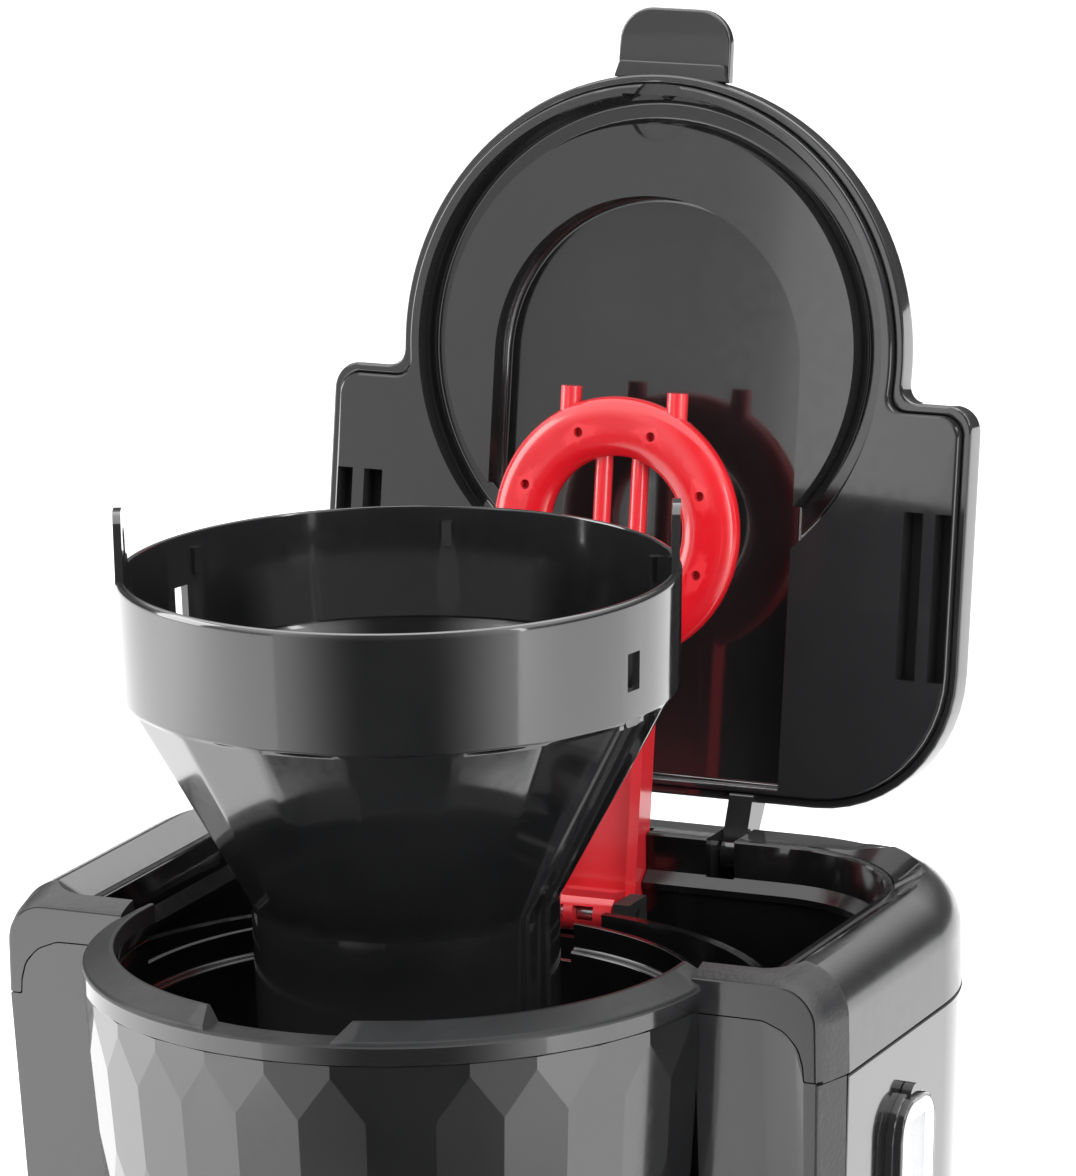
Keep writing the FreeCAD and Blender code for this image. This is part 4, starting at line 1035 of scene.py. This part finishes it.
def make_glass():
    low, r, wall = GLASS_LOW.z, GLASS_HIGH.x, 2.4
    neck, top = CARAFE_NECK, GLASS_HIGH.z
    outer = fillet([(0, low), (60, low), (r, low + 9), (r, low + 38), (r - 1, top - 50),
                    (neck + 6, top - 16), (neck, top - 8), (neck, top)],
                   [0, 6, 16, 60, 40, 12, 6, 0], 10, closed=False)
    inner = fillet([(neck - wall, top), (neck - wall, top - 8.6), (neck + 3.6, top - 17),
                    (r - 1 - wall, top - 50.5), (r - wall, low + 38), (r - wall, low + 10.5),
                    (58, low + wall), (0, low + wall)],
                   [0, 6, 12, 40, 60, 14, 5, 0], 10, closed=False)
    piece("carafe_glass_blown", turn(outer + inner), "carafe", GLASS, ["carafe_glass"], 0)


def make_carafe_top():
    neck, top = CARAFE_NECK, GLASS_HIGH.z
    collar = turn(fillet([(neck + 0.2, top - 7.5), (neck + 5, top - 9), (neck + 5, top + 6),
                          (neck - 3, top + 6), (neck - 3, top + 0.2), (neck + 0.2, top + 0.2)],
                         [1, 1.6, 1.4, 0.8, 0.3, 0.2], 5))
    piece("carafe_collar_ring", collar, "carafe", GLOSS, ["carafe_collar"], 0)

    level = extent("carafe_lid")[1].z
    lid = turn(fillet([(8, top + 0.4), (neck - 6, top + 0.4), (neck - 6, top + 6.4), (neck + 3, top + 6.4),
                       (neck + 2, level - 3), (neck - 6, level), (22, level - 2.4), (14, level - 5),
                       (8, level - 8)], [0.4, 0.4, 0.3, 0.8, 4, 4, 5, 3, 1], 5))
    flutes = [moved(block((-1.0, 1.0), (-neck, -neck + 9), (level - 1.2, level + 3)), around(turned))
              for turned in range(-60, 61, 12)]
    piece("carafe_lid_moulded", carve(lid, *flutes), "carafe", GLOSS, ["carafe_lid"], 0.3)


def make_handle():
    low, top, neck = GLASS_LOW.z, GLASS_HIGH.z, CARAFE_NECK
    reach = -extent("carafe_handle")[0].y
    outline = fillet([(-neck - 5.1, top - 6), (-neck - 5.1, top + 5), (-reach + 12, top + 5),
                      (-reach, top - 8), (-reach, low + 24), (-reach + 12, low + 12),
                      (-reach + 24, low + 12), (-reach + 16, low + 30), (-reach + 15, top - 18),
                      (-reach + 22, top - 9)],
                     [1, 2, 10, 22, 16, 7, 4, 14, 12, 6], 8)
    sides = clockwise_normals(outline)
    loops = []
    rounding = ((6, 0.0), (7.6, 0.6), (8.6, 1.6), (9, 3.0))
    for x, inset in [(-x, inset) for x, inset in reversed(rounding)] + list(rounding):
        loops.append([Vector((x, p.x - n.x * inset, p.y - n.y * inset)) for p, n in zip(outline, sides)])
    bore = rod(3.4, (0, -neck - 11, top + 3.4), (0, -neck - 11, top + 9), 32)
    piece("carafe_handle_grip", carve(skin(loops), bore), "carafe", MATTE,
          ["carafe_handle"], 0.5)


def clockwise_normals(outline):
    """Outward normals, whichever way round the outline runs."""
    area = sum(a.x * b.y - b.x * a.y for a, b in zip(outline, outline[1:] + outline[:1]))
    sign = 1 if area > 0 else -1
    return [n * sign for n in normals(outline)]


# ---- base

def base_plan(inset=0.0):
    """The base's plan: a round front that runs into a square-shouldered rear."""
    half, rear = 106.0 - inset, 124.0 - inset
    right = arc(BASE_RADIUS - inset, -90, -14, 36)
    last = right[-1]
    corners = [(last.x, last.y), (half - 9, 2 + inset), (half, 26), (half, rear), (0, rear)]
    side = fillet(corners, [0, 16, 20, 40 - inset, 0], 12, closed=False)
    side = right[:-1] + side[:-1]
    left = [Vector((-p.x, p.y)) for p in reversed(side[1:])]
    return side + [Vector((0, rear))] + left


def make_base():
    low, high = BASE_LOW.z, BASE_HIGH.z
    outer = slab(base_plan(), low, high, 0.8, 4.0, 6)
    hollow = slab(base_plan(2.4), low - 1, high - 2.4, 0, 2.0, 3)
    plate_hole = drum(70.3, high - 6, high + 2)
    switch_low, switch_high = extent("switch_bezel")
    window = block((-9.9, 9.9), (-92, -80), (switch_low.z + 2.1, switch_high.z - 2.1))
    lamp = rod(1.7, (0, -77, high - 5), (0, -77, high + 3), 32)
    holes = [rod(8.0, (*place, high - 5), (*place, high + 3), 40) for place in (RISER_AT, SUPPLY_AT)]
    gland_low, gland_high = extent("cord_gland")
    gland = (gland_low + gland_high) / 2
    holes.append(rod(5.1, (gland.x, 116, gland.z), (gland.x, 130, gland.z), 40))
    for k in range(9):
        x = -12 + 9 * k
        holes.append(block((x - 1.2, x + 1.2), (118, 130), (low + 7, low + 20)))
    shell = carve(outer, hollow, plate_hole, window, lamp, *holes)
    seam = low + 25.0
    groove = [raised(base_plan(inset), seam + rise)
              for inset, rise in ((1.0, -0.4), (-1.0, -0.4), (-1.0, 0.4), (1.0, 0.4))]
    shell = carve(shell, skin(groove, caps=False, turned_back=True))
    piece("base_housing", shell, "body", GLOSS, ["base_shell"], 0.35)


def make_plate():
    corner = extent("warming_plate")[1]
    radius, top = corner.x, corner.z
    profile = fillet([(0.01, top - 3.5), (radius - 1, top - 3.5), (radius - 0.05, top - 2.5),
                      (radius - 0.05, top), (radius - 2.6, top), (radius - 4.2, top - 0.5),
                      (0.01, top - 0.5)], [0, 0.6, 0.4, 0.5, 0.8, 0.8, 0], 4)
    piece("warming_plate_pressed", turn(profile, 200), "body", PLATE,
          ["warming_plate"], 0)


def make_controls():
    low, high = extent("switch_bezel")
    tall, level, wide = (high.z - low.z) / 2, (high.z + low.z) / 2, high.x
    rise = Vector((0, level))
    loops = []
    for y, grow in ((4, 0), (-1.4, 0), (-1.8, -0.4), (-2.0, -1.0)):
        plan = stadium(wide + grow, tall + grow, 3.0 + grow, 6)
        loops.append([Vector((p.x, y - BASE_RADIUS, level + p.y)) for p in plan])
    hole = upright_prism([p + rise for p in stadium(wide - 3.5, tall - 3.5, 1.0, 4)], -95, -70)
    round_front = drum(BASE_RADIUS, 0, 60, 180)
    piece("switch_surround", carve(skin(loops), hole, round_front), "body", GLOSS,
          ["switch_bezel"], 0.25)

    low, high = extent("power_switch")
    front = low.y
    outline = fillet([(front, low.z), (front + 1.6, level), (front + 0.6, high.z), (high.y, high.z),
                      (high.y, low.z)], [0.6, 3, 0.6, 0.2, 0.2], 5)
    mark_place = Matrix.Translation((0, front + 0.9, level - 2.0)) @ Matrix.Rotation(math.pi / 2, 4, "X")
    mark = moved(turn([(1.1, -1), (1.5, -1), (1.5, 1), (1.1, 1)], 32), mark_place)
    piece("rocker_switch", carve(side_prism(outline, low.x, high.x), mark), "rocker", MATTE,
          ["power_switch"], 0.15)


# ---- water gauge

GAUGE_LENGTH = 117.0
GAUGE_HALF = 11.2
GAUGE_TOP = 267.0


def gauge_layer(grow, low, high, edge, radius):
    """A rounded plate on the machine's side, between two depths."""
    plan = stadium(GAUGE_HALF + grow, GAUGE_LENGTH / 2 + grow, radius + grow, 12)
    sides = normals(plan)
    loops = []
    for x, inset in ((low, 0), (high - edge, 0), (high - 0.3 * edge, 0.3 * edge), (high, edge)):
        loops.append([Vector((x, p.x - n.x * inset, p.y - n.y * inset - GAUGE_LENGTH / 2))
                      for p, n in zip(plan, sides)])
    return skin(loops)


def make_gauge():
    side = HALF - (SEAM - GAUGE_TOP) * SIDE_TAPER
    middle = (GAUGE_LOW.y + GAUGE_HIGH.y) / 2
    place = Matrix.Translation((side, middle, GAUGE_TOP)) @ Matrix.Rotation(SIDE_LEAN, 4, "Y")

    under = gauge_layer(0.0, 0.05, 1.9, 0.4, 10.4)
    upper = gauge_layer(-0.9, 1.6, 3.7, 0.5, 9.6)
    well = gauge_layer(-1.9, 2.2, 6.0, 0.0, 8.7)
    bump = rod(3.2, (0.2, 0, -1.6), (2.6, 0, -1.6), 32)
    surround = carve(weld(under, upper, bump), well)
    piece("gauge_surround", surround, "body", GLOSS, ["gauge_frame"], 0.12, place)

    face = gauge_layer(-2.0, 2.2, 3.75, 0.3, 8.6)
    window = gauge_layer(-5.6, 2.9, 6.0, 0.0, 5.2)
    piece("gauge_face_ring", carve(face, window), "body", WHITE, ["gauge_window"], 0.2, place)

    pane = gauge_layer(-5.7, 2.25, 3.0, 0.2, 5.1)
    marks = []
    for k in range(9):
        z = -18 - k * 10.2
        reach = 2.6 if k % 2 else 3.8
        marks.append(block((2.8, 4), (-4.4, -4.4 + reach), (z - 0.25, z + 0.25)))
    piece("gauge_pane", carve(pane, *marks), "body", FROST, ["gauge_window"], 0, place)


# ---- pieces kept from the frame

def dress_frame():
    """Give every frame node that still shows its finish."""
    slots = {part["node"]: part["material_slot"] for part in frame["record"]["subparts"]}
    for name, item in frame["nodes"].items():
        item.data.materials.clear()
        item.data.materials.append(SLOT_FINISH[slots[name]])


# ---- stage

def make_floor():
    rim = arc(9000, 0, 360, 96)[:-1]
    floor = as_object(moved(skin([raised(rim, 0), raised(rim, -20)]), ROW), "floor")
    paper = Finish("pale_paper", 0.9)
    paper.colours(paper.noise(900, 3), (0.86, 0.86, 0.86), (0.88, 0.88, 0.88))
    floor.data.materials.append(paper.material)


def make_camera():
    azimuth, pitch, roll = math.radians(24.74), math.radians(13.39), math.radians(-1.11)
    distance, across, down = 1660.92, -28.94, -80.07
    ahead = Vector((math.sin(azimuth), -math.cos(azimuth), 0))
    back = ahead * math.cos(pitch) + Vector((0, 0, math.sin(pitch)))
    level = Vector((math.cos(azimuth), math.sin(azimuth), 0))
    upright = back.cross(level)
    right = level * math.cos(roll) + upright * math.sin(roll)
    up = upright * math.cos(roll) - level * math.sin(roll)
    place = back * distance - right * across - up * down + Vector((0, 0, RING_TOP))
    data = bpy.data.cameras.new("camera")
    data.sensor_fit = "VERTICAL"
    data.sensor_height = 36.0
    data.lens = 229.6
    data.clip_end = 100
    camera = bpy.data.objects.new("camera", data)
    turned = Matrix((right, up, back)).transposed().to_4x4()
    camera.matrix_world = Matrix.Translation(ROW @ place) @ turned
    bpy.context.scene.collection.objects.link(camera)
    bpy.context.scene.camera = camera


def softbox(name, place, aim, width, height, watts):
    data = bpy.data.lights.new(name, "AREA")
    data.shape = "RECTANGLE"
    data.size, data.size_y = width, height
    data.energy = watts
    lamp = bpy.data.objects.new(name, data)
    lamp.location = place
    lamp.rotation_euler = (Vector(aim) - Vector(place)).to_track_quat("-Z", "Y").to_euler()
    bpy.context.scene.collection.objects.link(lamp)


def gradient(tree, low, high, dim, bright):
    """A soft ramp from dim to bright while its input runs from low to high."""
    ramp = tree.nodes.new("ShaderNodeMapRange")
    ramp.interpolation_type = "SMOOTHSTEP"
    for name, value in (("From Min", low), ("From Max", high), ("To Min", dim), ("To Max", bright)):
        ramp.inputs[name].default_value = value
    return ramp


def dark_card():
    """An L of card before the object, dark in its middle, that reflections see and the camera doesn't."""
    azimuth = math.radians(24)
    reach, half, top, foot = 0.46, 0.52, 1.1, 0.36
    bm = bmesh.new()
    for low, high in (((0, 0), (0, top)), ((0, 0), (foot, 0))):
        bm.faces.new([bm.verts.new(p) for p in ((-half, *low), (half, *low), (half, *high), (-half, *high))])
    card = as_object(bm, "dark_card")
    card.location = (reach * math.sin(azimuth), -reach * math.cos(azimuth) + AXIS_Y * MM, 0.002)
    card.rotation_euler = (0, 0, azimuth)
    cloth = Finish("card_cloth", 1.0, Base_Color=(0.0, 0.0, 0.0, 1), Specular_IOR_Level=0.0,
                   Emission_Color=(1, 1, 1, 1))
    split = cloth.node("ShaderNodeSeparateXYZ")
    cloth.link(cloth.where, split.inputs["Vector"])
    across = cloth.node("ShaderNodeMath", operation="ABSOLUTE")
    cloth.link(split.outputs["X"], across.inputs[0])
    glow = gradient(cloth.tree, 0.09, half, 0.05, 1.5)
    cloth.link(across.outputs[0], glow.inputs["Value"])
    cloth.link(glow.outputs["Result"], cloth.shader.inputs["Emission Strength"])
    card.data.materials.append(cloth.material)
    card.visible_camera = False
    card.visible_shadow = False
    card.visible_diffuse = False


def make_lights():
    scene = bpy.context.scene
    scene.view_settings.view_transform = "Standard"
    scene.view_settings.look = "None"
    world = bpy.data.worlds.new("studio")
    world.use_nodes = True
    tree = world.node_tree
    split = tree.nodes.new("ShaderNodeSeparateXYZ")
    tree.links.new(tree.nodes.new("ShaderNodeTexCoord").outputs["Generated"], split.inputs["Vector"])
    horizon = gradient(tree, -0.6, 0.3, 0.62, 0.12)
    tree.links.new(split.outputs["Y"], horizon.inputs["Value"])
    sky = gradient(tree, 0.2, 0.72, 0.14, 2.4)
    tree.links.new(split.outputs["Z"], sky.inputs["Value"])
    tree.links.new(horizon.outputs["Result"], sky.inputs["To Min"])
    back = tree.nodes["Background"]
    back.inputs["Color"].default_value = (1, 1, 1, 1)
    tree.links.new(sky.outputs["Result"], back.inputs["Strength"])
    scene.world = world
    aim = (0, 0, 0.3)
    height, watts = 1.2, 16
    softbox("right_box", (1.4, -0.7, 0.7), aim, 0.7, height, watts)
    softbox("left_box", (-1.5, -0.5, 0.8), aim, 0.8, height, watts)
    dark_card()


make_floor()
make_camera()
make_lights()
dress_frame()
for make in (make_housing, make_collar, make_shoulders, make_column, make_chamber, make_tank,
             make_lining, make_cover, make_liner, make_head, make_basket, make_glass, make_carafe_top,
             make_handle, make_base, make_plate, make_controls, make_gauge):
    make()
